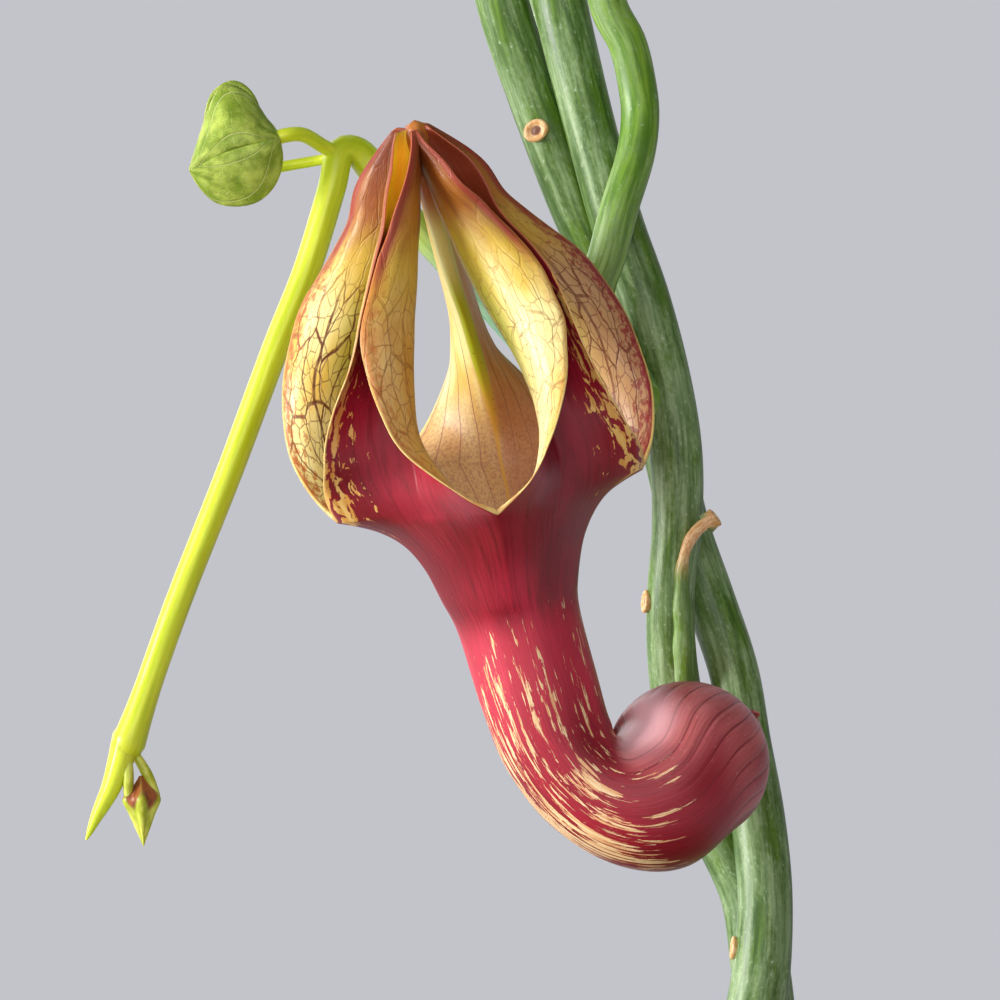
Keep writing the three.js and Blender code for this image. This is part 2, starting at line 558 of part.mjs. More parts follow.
function calyx() {
  const start = BULB_POLE.clone().addScaledVector(BULB_AXIS, FIT);
  const foot = braidPoint(1, STALK_FOOT_Z).add(vec(0, -stemRadius(STALK_FOOT_Z) - 2 * FIT, 0));
  const middle = start.clone().lerp(foot, 0.5).add(vec(0.4, 0, 0.2));
  const stalk = rod([start, middle, foot], (t) => 0.6 - 0.15 * t, 7, 5);
  const side = vec(0, 0, 1).cross(BULB_AXIS).normalize();
  const up = BULB_AXIS.clone().cross(side);
  const sepals = Array.from({ length: 5 }, (_, k) => {
    const angle = (2 * Math.PI * k) / 5 + 0.3;
    const out = side.clone().multiplyScalar(Math.cos(angle)).addScaledVector(up, Math.sin(angle));
    const sepal = [[0, 0.75], [0.8, 0.6], [1.6, 0.3]].map(([along, lift]) =>
      BULB_POLE.clone().addScaledVector(out, along).addScaledVector(BULB_AXIS, lift));
    return rod(sepal, (t) => 0.42 - 0.3 * t, 5, 4);
  });
  return joined([stalk, ...sepals]);
}

// Heart-shaped outline round the stalk's seat: share of the leaf's length by angle from the tip
const heart = through([
  [0, 0.86], [8, 0.7], [20, 0.56], [45, 0.44], [75, 0.36], [105, 0.33], [135, 0.3], [157, 0.22], [172, 0.08],
  [180, 0.05],
]);

// Leaf: stalk from its stem, then a blade in the frame of its tip direction, folded along the midrib, its
// tip drooping and its edge lightly waved.
function leaf({ from, seat, tip, length, wide = 1, fold = 0.22, droop = 0.5, stalk = PETIOLE_RADIUS }) {
  const along = tip.clone().normalize();
  const across = along.clone().cross(vec(0, 0, 1)).normalize();
  const normal = across.clone().cross(along);
  const angles = [0, 8, 22, 48, 80, 112, 142, 166, -166, -142, -112, -80, -48, -22, -8];
  const point = (degrees, share, lift) => {
    const reach = heart(Math.abs(degrees)) * length * share;
    const x = reach * Math.cos(degToRad(degrees));
    const y = reach * Math.sin(degToRad(degrees)) * wide;
    const wave = 0.03 * length * share ** 2 * Math.sin(degToRad(degrees) * 5);
    const z = fold * Math.abs(y) - (droop * Math.max(x, 0) ** 2) / length + wave + lift;
    return seat.clone().addScaledVector(along, x).addScaledVector(across, y).addScaledVector(normal, z);
  };
  const rings = [[0.5, 0.5], [1, 0.5], [1, -0.5], [0.5, -0.5]].map(([share, side]) =>
    angles.map((degrees) => point(degrees, share, side * LEAF_THICKNESS)));
  const blade = loft(rings, 2);
  const bend = from.clone().lerp(seat, 0.55).add(vec(0, 0, 0.12 * from.distanceTo(seat)));
  const stalkEnd = seat.clone().addScaledVector(along, 0.04 * length);
  return joined([blade, rod([from, bend, stalkEnd], (t) => stalk - 0.14 * t, 6, 4)]);
}

// Leaf on a stem point: azimuth is the way it faces, seen from above, from +X towards +Y.
function leafOn(stemPoint, stemRadius, azimuth, stalkLength, rise, length, options = {}) {
  const angle = degToRad(azimuth);
  const out = vec(Math.cos(angle), Math.sin(angle), 0);
  const from = stemPoint.clone().addScaledVector(out, stemRadius + 1.5 * FIT);
  const seat = from.clone().addScaledVector(out, stalkLength).add(vec(0, 0, stalkLength * rise));
  const tip = out.clone().add(vec(0, 0, options.pitch ?? -0.25));
  return leaf({ from, seat, tip, length, ...options });
}

// Young folded leaf facing the viewer at the hook, and the one behind it
function youngLeaf(stalkPoints, midribStart, midribEnd, halfWidths, facing) {
  const along = midribEnd.clone().sub(midribStart);
  const length = along.length();
  along.normalize();
  const upward = facing.clone().cross(along).normalize();
  const rows = [0.02, 0.15, 0.35, 0.55, 0.75, 0.9, 0.99];
  const grid = rows.map((t) => [-1, -0.6, 0, 0.6, 1].map((s) => {
    const half = s > 0 ? halfWidths[0] : halfWidths[1];
    const width = Math.abs(s) * half * Math.sin(Math.PI * t ** 0.8) ** 0.75;
    const depth = 0.35 * width;
    return midribStart.clone().addScaledVector(along, length * t)
      .addScaledVector(upward, Math.sign(s) * width).addScaledVector(facing, -depth);
  }));
  return joined([slab(grid, LEAF_THICKNESS), rod(stalkPoints, () => 0.32, 6, 6)]);
}

// Low leafy shoot out of the soil: a thin stem in a node of its own, its leaves in others
function lowShoot(points) {
  const radius = through([[0, LOW_SHOOT_RADIUS], [0.6, 0.65], [1, 0.3]]);
  return rod([rootPoint(points[0]), points[0].clone().setZ(SOIL_LEVEL - 3), ...points], radius, 7, 16);
}

const LOW_SHOOT_LEFT = [
  vec(-11, 3, SOIL_LEVEL), vec(-12, 3.4, 56), vec(-14.4, 3, 63), vec(-16.4, 1.6, 70), vec(-16, -0.4, 76),
];
const LOW_SHOOT_BACK = [
  vec(9, 10, SOIL_LEVEL), vec(10, 11, 57), vec(12.6, 12.6, 65), vec(14.2, 13, 70.5), vec(13.4, 11.6, 75.5),
];

const GREEN = 0x5d7f55;
const FRESH = 0x7fa04a;
const LEAF = 0x5f8a4a;
const LIME = 0xc3d541;

const leftFoot = braidPoint(1, SOIL_LEVEL);
const rightFoot = braidPoint(-1, SOIL_LEVEL);
const roots = [
  { x: leftFoot.x, y: leftFoot.y, radius: STEM_FOOT_RADIUS },
  { x: rightFoot.x, y: rightFoot.y, radius: STEM_FOOT_RADIUS },
  ...[LOW_SHOOT_LEFT, LOW_SHOOT_BACK].map(([foot]) => ({ x: foot.x, y: foot.y, radius: LOW_SHOOT_RADIUS })),
];

place('pot', pot(), 0xb5694a, 0.85);
place('soil', soil(roots), 0x4a382b, 0.95);
place('left_stem', leftStem(), GREEN, 0.45);
place('right_stem', rightStem(), FRESH, 0.45);
place('lime_shoot', limeShoot(), LIME, 0.4);
place('bud', bud(), 0x9ea33c, 0.5);
place('corolla', corolla(), 0x9c2c34, 0.45);
place('calyx', calyx(), 0xc0606a, 0.5);
place('low_shoot_left', lowShoot(LOW_SHOOT_LEFT), FRESH, 0.5);
place('low_shoot_back', lowShoot(LOW_SHOOT_BACK), FRESH, 0.5);

place('young_leaf_front', youngLeaf(
  [vec(-12.75, -0.9, 116.05), vec(-13.6, -1.7, 116.6), vec(-14.6, -2.1, 116.6), vec(-15.0, -2.1, 116.4)],
  vec(-14.5, -2.1, 116.6), vec(-18.0, -2.3, 115.5), [2.3, 1.75], VIEWER,
), 0xa9c774, 0.5);
place('young_leaf_behind', youngLeaf(
  [vec(-12.95, 0.1, 115.7), vec(-13.8, 0.3, 115.7), vec(-14.8, 0.2, 115.5), vec(-15.2, 0.2, 115.8)],
  vec(-14.8, 0.2, 115.5), vec(-17.1, -0.2, 119.0), [0.9, 0.9], VIEWER,
), 0xb9cf5a, 0.5);

const leaves = [
  ['leaf_high_right', braidPoint(-1, 133), 1.0, 24, 6, 0.5, 20, {}],
  ['leaf_high_left', braidPoint(1, 135), 1.0, 192, 6.5, 0.5, 21, {}],
  ['leaf_mid_front', vec(-6.7, -1.7, 146.2), 0.88, 250, 5.5, 0.6, 17, {}],
  ['leaf_mid_back', braidPoint(-1, 148), 1.0, 130, 5.5, 0.55, 18, {}],
  ['leaf_top_right', vec(2.6, 0.8, 167), 0.6, 20, 4, 0.6, 13, { stalk: 0.4 }],
  ['leaf_top_left', vec(-5.8, -1.9, 161), 0.5, 205, 4, 0.6, 12, { stalk: 0.4 }],
  ['leaf_branch_right', vec(8.5, -1.3, 141), 0.6, -20, 4.5, 0.4, 14, { stalk: 0.42 }],
  ['leaf_branch_back', vec(-4.4, 8.7, 138.5), 0.4, 85, 4.5, 0.4, 14, { stalk: 0.42 }],
  ['leaf_low_right', braidPoint(-1, 67), STEM_FOOT_RADIUS, -12, 8, 0.15, 22, { pitch: -0.05, droop: 0.35 }],
  ['leaf_low_left', braidPoint(1, 72), STEM_FOOT_RADIUS, 215, 7, 0.12, 17, { pitch: -0.05, droop: 0.35 }],
  ['leaf_left_front', vec(-14.4, 3, 63), 0.66, 240, 6, 0.35, 18, { stalk: 0.44, pitch: -0.05, droop: 0.35 }],
  ['leaf_left_back', vec(-14.4, 3, 63), 0.66, 122, 6, 0.35, 17, { stalk: 0.44, pitch: -0.05, droop: 0.35 }],
  ['leaf_left_tip', vec(-16.0, -0.4, 75.6), 0.35, 170, 3, 0.5, 11, { stalk: 0.36 }],
  ['leaf_back_side', vec(12.6, 12.6, 65), 0.66, 4, 5, 0.4, 17, { stalk: 0.44, pitch: -0.05, droop: 0.3 }],
  ['leaf_back_far', vec(12.6, 12.6, 65), 0.66, 118, 5, 0.4, 16, { stalk: 0.44, pitch: -0.05, droop: 0.3 }],
  ['leaf_back_tip', vec(13.4, 11.6, 75.3), 0.35, 80, 3, 0.5, 11, { stalk: 0.36 }],
];
leaves.forEach(([name, at, stemRadius, azimuth, stalkLength, rise, length, options]) => {
  place(name, leafOn(at, stemRadius, azimuth, stalkLength, rise, length, options), LEAF, 0.5);
});

export default group;
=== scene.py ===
"""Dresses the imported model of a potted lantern-flower vine: old twined stems, a lime young shoot, one
lantern flower with its folded lobes, heart-shaped leaves, soil and a clay pot. Shapes are worked out in
millimetres, in the frame of the model, with the flower in front, towards -Y."""

import bpy
import numpy as np
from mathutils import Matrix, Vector


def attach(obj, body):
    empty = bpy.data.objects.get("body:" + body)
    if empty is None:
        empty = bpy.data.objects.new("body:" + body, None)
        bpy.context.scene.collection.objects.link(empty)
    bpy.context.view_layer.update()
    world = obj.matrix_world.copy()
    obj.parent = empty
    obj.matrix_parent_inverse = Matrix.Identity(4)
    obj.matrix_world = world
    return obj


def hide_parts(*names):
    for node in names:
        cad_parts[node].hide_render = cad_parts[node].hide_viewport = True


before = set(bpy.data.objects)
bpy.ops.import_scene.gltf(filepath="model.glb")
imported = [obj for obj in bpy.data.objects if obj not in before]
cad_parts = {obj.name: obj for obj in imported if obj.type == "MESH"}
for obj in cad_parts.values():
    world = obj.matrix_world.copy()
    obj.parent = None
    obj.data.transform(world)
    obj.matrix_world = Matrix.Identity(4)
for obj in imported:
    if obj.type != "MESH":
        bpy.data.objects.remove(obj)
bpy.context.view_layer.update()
MM = 0.001
SEED = 7
SKY = np.array([0.0, 0.0, 1.0])
VIEWER = np.array([0.0, -1.0, 0.0])

# Pot and soil
POT_HEIGHT = 58.0
POT_BASE_RADIUS = 24.0
POT_RIM_RADIUS = 36.0
COLLAR_FOOT = 43.0
UNDER_COLLAR = 31.8
COLLAR_RADIUS = 34.4
POT_INNER_RIM = 32.6
POT_FLOOR = 4.6
DRAIN_RADIUS = 4.5
SOIL_LEVEL = 50.0
SOIL_LUMP = 0.9
SOIL_RADIUS = 30.6
ROOT_DEPTH = 14.0
GRAINS = 1100
GRAIN_POINTS = 26

# Stems
BRANCH_RADIUS = 0.78
LOW_SHOOT_RADIUS = 0.75
STEM_STEPS = 300

# Corolla: a cage of five folded lobes on a funnel, a bent tube and a bulb
MOUTH = np.array([-6.3, -8.6, 102.5])
CAGE_HEIGHT = 15.1
LEAN_LEFT = np.radians(11.3)
LEAN_FORWARD = np.radians(12.4)
KEEL_AZIMUTHS = np.array([-36.0, 36.0, 108.0, 170.0, 252.0])
PETAL_WALL = 0.22
EDGE_SHARE = 0.25
BULB_CENTRE = np.array([1.9, -6.0, 91.45])
BULB_RADIUS = 3.3
BULB_AXIS = np.array([0.55, 0.7, 0.45]) / np.linalg.norm([0.55, 0.7, 0.45])
CREASE = np.array([-0.92, -7.1, 92.6])
CREASE_SHADE = CREASE + [1.3, 0, -0.7]
# Middle of the bulb's left end, where a highlight is painted.
BULB_HIGHLIGHT_SPOT = np.array([-0.3, -8.2, 93.4])
LOBE_HALF_WIDTH = 3.9
LOBE_APART = 23
TUBE_RADIUS = 2.7
COLUMNS = 18
LOBE_ROWS = 84

# Leaves
LEAF_WALL = 0.42
YOUNG_LEAF_WALL = 0.22
LEAF_BEHIND_WALL = 0.2


def unit(vectors):
    """Vectors scaled to length one along the last axis."""
    return vectors / np.maximum(np.linalg.norm(vectors, axis=-1, keepdims=True), 1e-9)


def ease(value, low, high):
    """0 below low, 1 above high, and the cubic 3t^2 - 2t^3 between them; high may be the smaller."""
    share = np.clip((np.asarray(value, float) - low) / (high - low), 0, 1)
    return share * share * (3 - 2 * share)


def through(*pairs):
    """Smooth value through (place, value) pairs: a cubic whose slopes come from the neighbours."""
    places, values = np.array(pairs, float).T
    low = np.maximum(np.arange(len(places)) - 1, 0)
    high = np.minimum(np.arange(len(places)) + 1, len(places) - 1)
    slopes = (values[high] - values[low]) / (places[high] - places[low])

    def value(place):
        place = np.asarray(place, float)
        i = np.clip(np.searchsorted(places, place, side="right") - 1, 0, len(places) - 2)
        span = places[i + 1] - places[i]
        t = np.clip((place - places[i]) / span, 0, 1)
        rise = (1 - t) ** 2 * t * span * slopes[i] - t * t * (1 - t) * span * slopes[i + 1]
        return values[i] + (values[i + 1] - values[i]) * t * t * (3 - 2 * t) + rise

    return value


def spline(points, per_gap):
    """Centripetal Catmull-Rom curve through points, or through rings of points: per_gap samples to a gap,
    the knots set by the square root of the mean distance, the ends run on straight."""
    points = np.asarray(points, float)
    flat = points.reshape(len(points), -1)
    flat = np.vstack([2 * flat[0] - flat[1], flat, 2 * flat[-1] - flat[-2]])
    reach = np.diff(flat, axis=0).reshape(len(flat) - 1, -1, 3)
    gap = np.sqrt(np.sqrt((reach**2).sum(-1).mean(-1)))
    before, here, after = gap[:-2, None], gap[1:-1, None], gap[2:, None]
    p0, p1, p2, p3 = flat[:-3], flat[1:-2], flat[2:-1], flat[3:]
    start = ((p1 - p0) / before - (p2 - p0) / (before + here) + (p2 - p1) / here) * here
    end = ((p2 - p1) / here - (p3 - p1) / (here + after) + (p3 - p2) / after) * here
    t = (np.arange(per_gap) / per_gap)[:, None, None]
    curve = (2 * t**3 - 3 * t**2 + 1) * p1 + (t**3 - 2 * t**2 + t) * start
    curve = curve + (3 * t**2 - 2 * t**3) * p2 + (t**3 - t**2) * end
    curve = curve.transpose(1, 0, 2).reshape(-1, flat.shape[1])
    return np.vstack([curve, flat[-2]]).reshape(-1, *points.shape[1:])


def even_path(points, steps):
    """The curve through the points, cut into even steps by length."""
    fine = spline(points, 24)
    length = np.concatenate([[0], np.cumsum(np.linalg.norm(np.diff(fine, axis=0), axis=1))])
    at = np.linspace(0, length[-1], steps + 1)
    return np.stack([np.interp(at, length, fine[:, k]) for k in range(3)], axis=-1)


def turned(profile, sides, centre=(0, 0, 0), axis=SKY, squeeze=1.0, reference=(1.0, 0.0, 0.0)):
    """Rings turned about an axis from (radius, height) pairs; squeeze narrows them across the reference."""
    axis = unit(np.asarray(axis, float))
    reference = np.asarray(reference, float)
    side = unit(reference - (axis @ reference) * axis)
    other = np.cross(axis, side)
    angle = np.linspace(0, 2 * np.pi, sides, endpoint=False)[:, None]
    around = np.cos(angle) * side + squeeze * np.sin(angle) * other
    profile = np.asarray(profile, float)
    return np.asarray(centre, float) + profile[:, :1, None] * around + profile[:, 1:, None] * axis


def rounded(corners, reach, steps=5):
    """A profile's corners softened: each is a parabola from reach before it to reach after it."""
    corners = np.asarray(corners, float)
    before, here, after = corners[:-2], corners[1:-1], corners[2:]
    reach = np.minimum(reach, 0.45 * np.linalg.norm(here - before, axis=1))
    reach = np.minimum(reach, 0.45 * np.linalg.norm(after - here, axis=1))[:, None]
    start, end = here + unit(before - here) * reach, here + unit(after - here) * reach
    t = np.linspace(0, 1, steps)[:, None, None]
    arcs = (1 - t) ** 2 * start + 2 * t * (1 - t) * here + t**2 * end
    return np.vstack([corners[:1], arcs.transpose(1, 0, 2).reshape(-1, 2), corners[-1:]])


class Shape:
    """A mesh put together from grids of points, in millimetres. Each grid has its own finish number, and
    named fields with a value, or a vector, for each point."""

    def __init__(self):
        self.points, self.faces, self.finishes, self.fields, self.count = [], [], [], [], 0

    def add(self, grid, around=False, caps=True, finish=0, **fields):
        """Faces over a grid of points; around joins its last column to its first, caps close its ends."""
        grid = np.asarray(grid, float)
        index = np.arange(grid.shape[0] * grid.shape[1]).reshape(grid.shape[:2])
        if around:
            index = np.hstack([index, index[:, :1]])
        faces = self.quads(index).tolist()
        if around and caps:
            faces += [index[0, :-1][::-1].tolist(), index[-1, :-1].tolist()]
        self.add_faces(grid, faces, finish, **fields)

    def add_rod(self, points, steps, radius, sides=20, section=None, reference=VIEWER, flat=1.0, **fields):
        """Rings square to the even curve through the points. The radius and the fields may be functions of
        the share of its length; section(angle) shapes each ring, flat squeezes it along the reference, and
        each end is rounded by rings on a half ellipse. The field skin is each point's place on the skin: two
        directions round it and the length along it."""
        path, share = even_path(points, steps), np.linspace(0, 1, steps + 1)
        radius = np.broadcast_to(radius(share) if callable(radius) else radius, steps + 1)
        tangent = unit(np.gradient(path, axis=0))
        side = unit(reference - (tangent @ reference)[:, None] * tangent)
        other = np.cross(tangent, side)
        swell = np.radians([82, 60, 32])
        lead = path[0] - tangent[0] * (radius[0] * np.sin(swell))[:, None]
        tail = path[-1] + tangent[-1] * (radius[-1] * np.sin(swell[::-1]))[:, None]
        reach = np.concatenate([radius[0] * np.cos(swell), radius, radius[-1] * np.cos(swell[::-1])])
        at = np.clip(np.arange(-3, steps + 4), 0, steps)
        angle = np.linspace(0, 2 * np.pi, sides, endpoint=False)
        wave = (reach[:, None] * (1 if section is None else section(angle)))[..., None]
        rings = np.vstack([lead, path, tail])[:, None]
        rings = rings + wave * flat * np.cos(angle)[:, None] * side[at][:, None]
        rings = rings + wave * np.sin(angle)[:, None] * other[at][:, None]
        share = at[:, None] / steps
        long = np.linalg.norm(np.diff(path, axis=0), axis=1).sum() * share + 0 * angle
        round_it = radius.max() * np.stack([np.cos(angle), np.sin(angle)])[:, None] + 0 * share
        fields = {name: value(share) if callable(value) else value for name, value in fields.items()}
        self.add(rings, around=True, skin=np.stack([*round_it, long], axis=-1), **fields)

    @staticmethod
    def quads(index):
        corners = [index[:-1, :-1], index[:-1, 1:], index[1:, 1:], index[1:, :-1]]
        return np.stack(corners, axis=-1).reshape(-1, 4)

    def add_faces(self, points, faces, finish=0, **fields):
        """Points with their own faces, numbered from 0; a field may also be one number, or one a row."""
        size = points[..., 0].size
        wide = {name: value if np.shape(value)[-1:] == (3,) else np.broadcast_to(value, points.shape[:-1])
                for name, value in fields.items()}
        self.fields.append({name: np.reshape(value, (size, -1)) for name, value in wide.items()})
        self.faces += [[corner + self.count for corner in face] for face in faces]
        self.finishes += [finish] * len(faces)
        self.points.append(points.reshape(-1, 3))
        self.count += size

    def build(self, name, *finishes, smooth=True):
        mesh = bpy.data.meshes.new(name)
        mesh.from_pydata((np.vstack(self.points) * MM).tolist(), [], self.faces)
        for finish in finishes:
            mesh.materials.append(finish.material)
        mesh.polygons.foreach_set("material_index", self.finishes)
        mesh.polygons.foreach_set("use_smooth", [smooth] * len(self.faces))
        for key in {key for part in self.fields for key in part}:
            wide = next(part[key].shape[1] for part in self.fields if key in part)
            parts = [part.get(key, np.zeros((len(points), wide)))
                     for part, points in zip(self.fields, self.points)]
            kind, slot = ("FLOAT_VECTOR", "vector") if wide == 3 else ("FLOAT", "value")
            mesh.attributes.new(key, kind, "POINT").data.foreach_set(slot, np.vstack(parts).ravel())
        piece = bpy.data.objects.new(name, mesh)
        bpy.context.scene.collection.objects.link(piece)
        return piece


def thicken(piece, wall, offset=-1.0, under=0, rim=0):
    """Gives a sheet its wall; under and rim say how many finishes further on its other side and edge are."""
    solidify = piece.modifiers.new("wall", "SOLIDIFY")
    solidify.thickness = wall * MM
    solidify.offset = offset
    solidify.material_offset = under
    solidify.material_offset_rim = rim
    return piece


def settle(piece, slot, *nodes):
    """Seats a finished piece on the one body and hides the solids it stands for; slot is not used."""
    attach(piece, "root")
    if nodes:
        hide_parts(*nodes)
    return piece


def srgb(red, green, blue):
    """A screen colour, 0 to 255, as the linear colour with alpha that a shader takes."""
    share = np.array([red, green, blue]) / 255
    linear = np.where(share <= 0.04045, share / 12.92, ((share + 0.055) / 1.055) ** 2.4)
    return (*linear.tolist(), 1.0)


class Value:
    """A number, vector or colour in a finish; arithmetic on it adds Math nodes."""

    def __init__(self, finish, socket):
        self.finish, self.socket = finish, socket

    def math(self, operation, *others):
        return self.finish.node("ShaderNodeMath", {"operation": operation}, *others)

    def __add__(self, other):
        return self.math("ADD", self, other)

    def __sub__(self, other):
        return self.math("SUBTRACT", self, other)

    def __rsub__(self, other):
        return self.math("SUBTRACT", other, self)

    def __mul__(self, other):
        return self.math("MULTIPLY", self, other)

    def __abs__(self):
        return self.math("ABSOLUTE", self)

    __radd__, __rmul__ = __add__, __mul__

    def wave(self):
        """Distance from the nearest whole number, from 0 to 0.5."""
        return abs(self.math("FRACT", self + 0.5) - 0.5)

    def step(self, low, high):
        """0 below low and 1 above high, smooth between them; high may be the smaller."""
        smooth = {"interpolation_type": "SMOOTHSTEP"}
        return self.finish.node("ShaderNodeMapRange", smooth, self, low, high, 0.0, 1.0)

    def mix(self, mask, layer):
        """This colour with another laid over it where the mask is 1."""
        return self.finish.mix(mask, self, layer)


class Finish:
    """A material, or the surround: one shader, its constant sockets set by name, and its nodes."""

    def __init__(self, name, kind=bpy.data.materials, shader="Principled BSDF", **sockets):
        self.material = kind.new(name)
        self.material.use_nodes = True
        self.tree = self.material.node_tree
        self.shader = self.tree.nodes[shader]
        for socket, value in sockets.items():
            self.shader.inputs[socket.replace("_", " ")].default_value = value

    def node(self, kind, settings, *values, output=0, **named):
        """Adds a node: its settings first, then its sockets by order and by name; gives one output."""
        node = self.tree.nodes.new(kind)
        for key, setting in settings.items():
            setattr(node, key, setting)
        for socket, value in [*zip(node.inputs, values), *((node.inputs[k], v) for k, v in named.items())]:
            if isinstance(value, Value):
                self.tree.links.new(value.socket, socket)
            elif value is not None:
                socket.default_value = value
        return Value(self, node.outputs[output])

    def mix(self, factor, *colours):
        """The first colour where the factor is 0, the second where it is 1; either may be screen numbers."""
        colours = (colour if isinstance(colour, Value) else srgb(*colour) for colour in colours)
        return self.node("ShaderNodeMix", {"data_type": "RGBA"}, factor, *[None] * 5, *colours, output=2)

    def field(self, name, output="Fac"):
        return self.node("ShaderNodeAttribute", {"attribute_name": name}, output=output)

    def scaled(self, vector, *scales):
        return self.node("ShaderNodeVectorMath", {"operation": "MULTIPLY"}, vector, scales)

    def place(self):
        """Object coordinates in millimetres."""
        return self.scaled(self.node("ShaderNodeTexCoord", {}, output="Object"), *[1 / MM] * 3)

    def noise(self, vector, scales, detail=2.0, rough=0.5, warp=0.0):
        return self.node("ShaderNodeTexNoise", {}, Vector=self.scaled(vector, *scales), Scale=1.0,
                         Detail=detail, Roughness=rough, Distortion=warp)

    def cells(self, vector, scales, random=1.0):
        """Distance from the edges of flat random cells."""
        settings = {"feature": "DISTANCE_TO_EDGE", "voronoi_dimensions": "2D"}
        return self.node("ShaderNodeTexVoronoi", settings, Vector=self.scaled(vector, *scales), Scale=1.0,
                         Randomness=random, output="Distance")

    def paint(self, **sockets):
        """Links values to the shader's sockets."""
        for socket, value in sockets.items():
            self.tree.links.new(value.socket, self.shader.inputs[socket.replace("_", " ")])

    def bump(self, height, distance, strength=1.0):
        sockets = {"Strength": strength, "Distance": distance * MM, "Height": height}
        self.paint(Normal=self.node("ShaderNodeBump", {}, output="Normal", **sockets))


# Finishes


def clay_finish():
    """Fired clay: mottled orange-brown with fine sand, turning lines and a pale bloom low down."""
    clay = Finish("clay", Roughness=0.85, Specular_IOR_Level=0.25)
    spot = clay.place()
    height = clay.node("ShaderNodeSeparateXYZ", {}, spot, output="Z")
    broad = clay.noise(spot, (0.09, 0.09, 0.12), 4)
    grit = clay.noise(spot, (3.0, 3.0, 3.0), 3)
    lines = clay.noise(spot, (0.05, 0.05, 1.6), 3)
    colour = clay.mix(broad.step(0.35, 0.68), (158, 88, 58), (192, 118, 84))
    colour = colour.mix(lines.step(0.42, 0.7) * 0.35, (206, 138, 104))
    colour = colour.mix(grit.step(0.62, 0.74) * 0.5, (120, 62, 42))
    bloom = clay.noise(spot, (0.16, 0.16, 0.3), 5, 0.65)
    bloom = (bloom + height.step(26, 2) * 0.2).step(0.56, 0.76) * 0.6
    colour = colour.mix(bloom, (214, 196, 178))
    clay.paint(Base_Color=colour)
    clay.bump(grit * 0.5 + lines * 0.8, 0.12, 0.8)
    return clay


def soil_finish():
    """Damp potting mix: dark crumbs with paler fibres."""
    soil = Finish("soil", Roughness=0.95, Specular_IOR_Level=0.2)
    crumb = soil.noise(soil.place(), (1.1, 1.1, 1.1), 6, 0.7)
    fibre = soil.noise(soil.place(), (0.5, 2.4, 1.0), 4, 0.6, 1.5)
    colour = soil.mix(crumb.step(0.35, 0.7), (38, 26, 19), (86, 62, 44))
    colour = colour.mix(fibre.step(0.62, 0.75) * 0.5, (128, 98, 68))
    soil.paint(Base_Color=colour)
    soil.bump(crumb, 0.8)
    return soil


def grain_finish():
    """Loose grains on the soil: bark, grit and pale pumice, told apart by the field kind."""
    grain = Finish("grains", Roughness=0.9, Specular_IOR_Level=0.25)
    kind = grain.field("kind")
    speck = grain.noise(grain.place(), (2.2, 2.2, 2.2), 4, 0.6)
    bark = grain.mix(speck.step(0.35, 0.65), (58, 36, 24), (112, 74, 48))
    grit = grain.mix(speck.step(0.35, 0.65), (122, 108, 92), (172, 156, 136))
    pumice = grain.mix(speck.step(0.4, 0.6), (196, 190, 178), (226, 222, 212))
    colour = grain.mix(kind.step(0.55, 0.56), bark, grit)
    colour = colour.mix(kind.step(0.8, 0.81), pumice)
    grain.paint(Base_Color=colour)
    grain.bump(speck, 0.15)
    return grain


def stem_finish():
    """Old stem: satin green skin clouded with grey-green wax and fine lengthwise lines, brighter green where
    the field fresh is 1; tan bark at scars, where the field cork is 1, and dark brown where it is 2."""
    stem = Finish("stem", Specular_IOR_Level=0.5, Coat_Weight=0.1, Coat_Roughness=0.4)
    fresh, cork, skin = stem.field("fresh"), stem.field("cork"), stem.field("skin", "Vector")
    cloud = stem.noise(skin, (0.9, 0.9, 0.3), 5, 0.6)
    streak = stem.noise(skin, (3.6, 3.6, 0.35), 4, 0.6)
    lines = stem.noise(skin, (7, 7, 0.2), 2)
    fleck = stem.noise(skin, (6.5, 6.5, 4.2), 2, 0.6)
    bare = stem.mix(streak.step(0.34, 0.68), (54, 86, 8), (98, 134, 32))
    young = stem.mix(streak.step(0.34, 0.68), (88, 134, 14), (138, 178, 48))
    wax = stem.mix(streak.step(0.34, 0.68), (102, 132, 72), (158, 180, 132))
    cover = (cloud * 0.75 + fleck * 0.25).step(0.4, 0.6)
    colour = stem.mix(cover * (0.85 - fresh * 0.45), stem.mix(fresh, bare, young), wax)
    colour = colour.mix(lines.step(0.56, 0.7) * 0.35, (52, 84, 24))
    colour = colour.mix((fleck + cloud * 0.2).step(0.76, 0.83) * 0.5, (190, 206, 170))
    tan = stem.mix(fleck.step(0.4, 0.6), (212, 156, 92), (240, 196, 142))
    tan = tan.mix(cork.step(1.2, 1.8), (112, 62, 30))
    stem.paint(Base_Color=stem.mix(cork.step(0, 1), colour, tan), Roughness=cover * 0.14 + 0.38)
    stem.bump(streak * 0.5 + fleck * 0.5, 0.03, 0.5)
    return stem


def lime_finish():
    """Young shoot: lime with faint lengthwise streaks; teal-green where the field shade is 1, partly a waxy
    bloom and partly painted shade, as that part runs behind the flower.
    """
    lime = Finish("lime", Roughness=0.36, Specular_IOR_Level=0.5, Coat_Weight=0.1, Subsurface_Weight=0.25,
                  Subsurface_Scale=0.0006, Subsurface_Radius=(0.6, 1.0, 0.2))
    shade, skin = lime.field("shade"), lime.field("skin", "Vector")
    streak = lime.noise(skin, (3, 3, 0.25), 3)
    fleck = lime.noise(skin, (6, 6, 5), 2)
    colour = lime.mix(streak.step(0.3, 0.7), (196, 212, 16), (222, 232, 50))
    colour = colour.mix(fleck.step(0.68, 0.76) * 0.4, (232, 240, 160))
    # Teal-green: partly a waxy bloom and partly painted shade on the part behind the flower.
    teal = lime.mix(streak.step(0.35, 0.66), (112, 160, 120), (150, 188, 152))
    lime.paint(Base_Color=lime.mix(shade, colour, teal))
    lime.bump(streak + fleck * 0.4, 0.02, 0.5)
    return lime


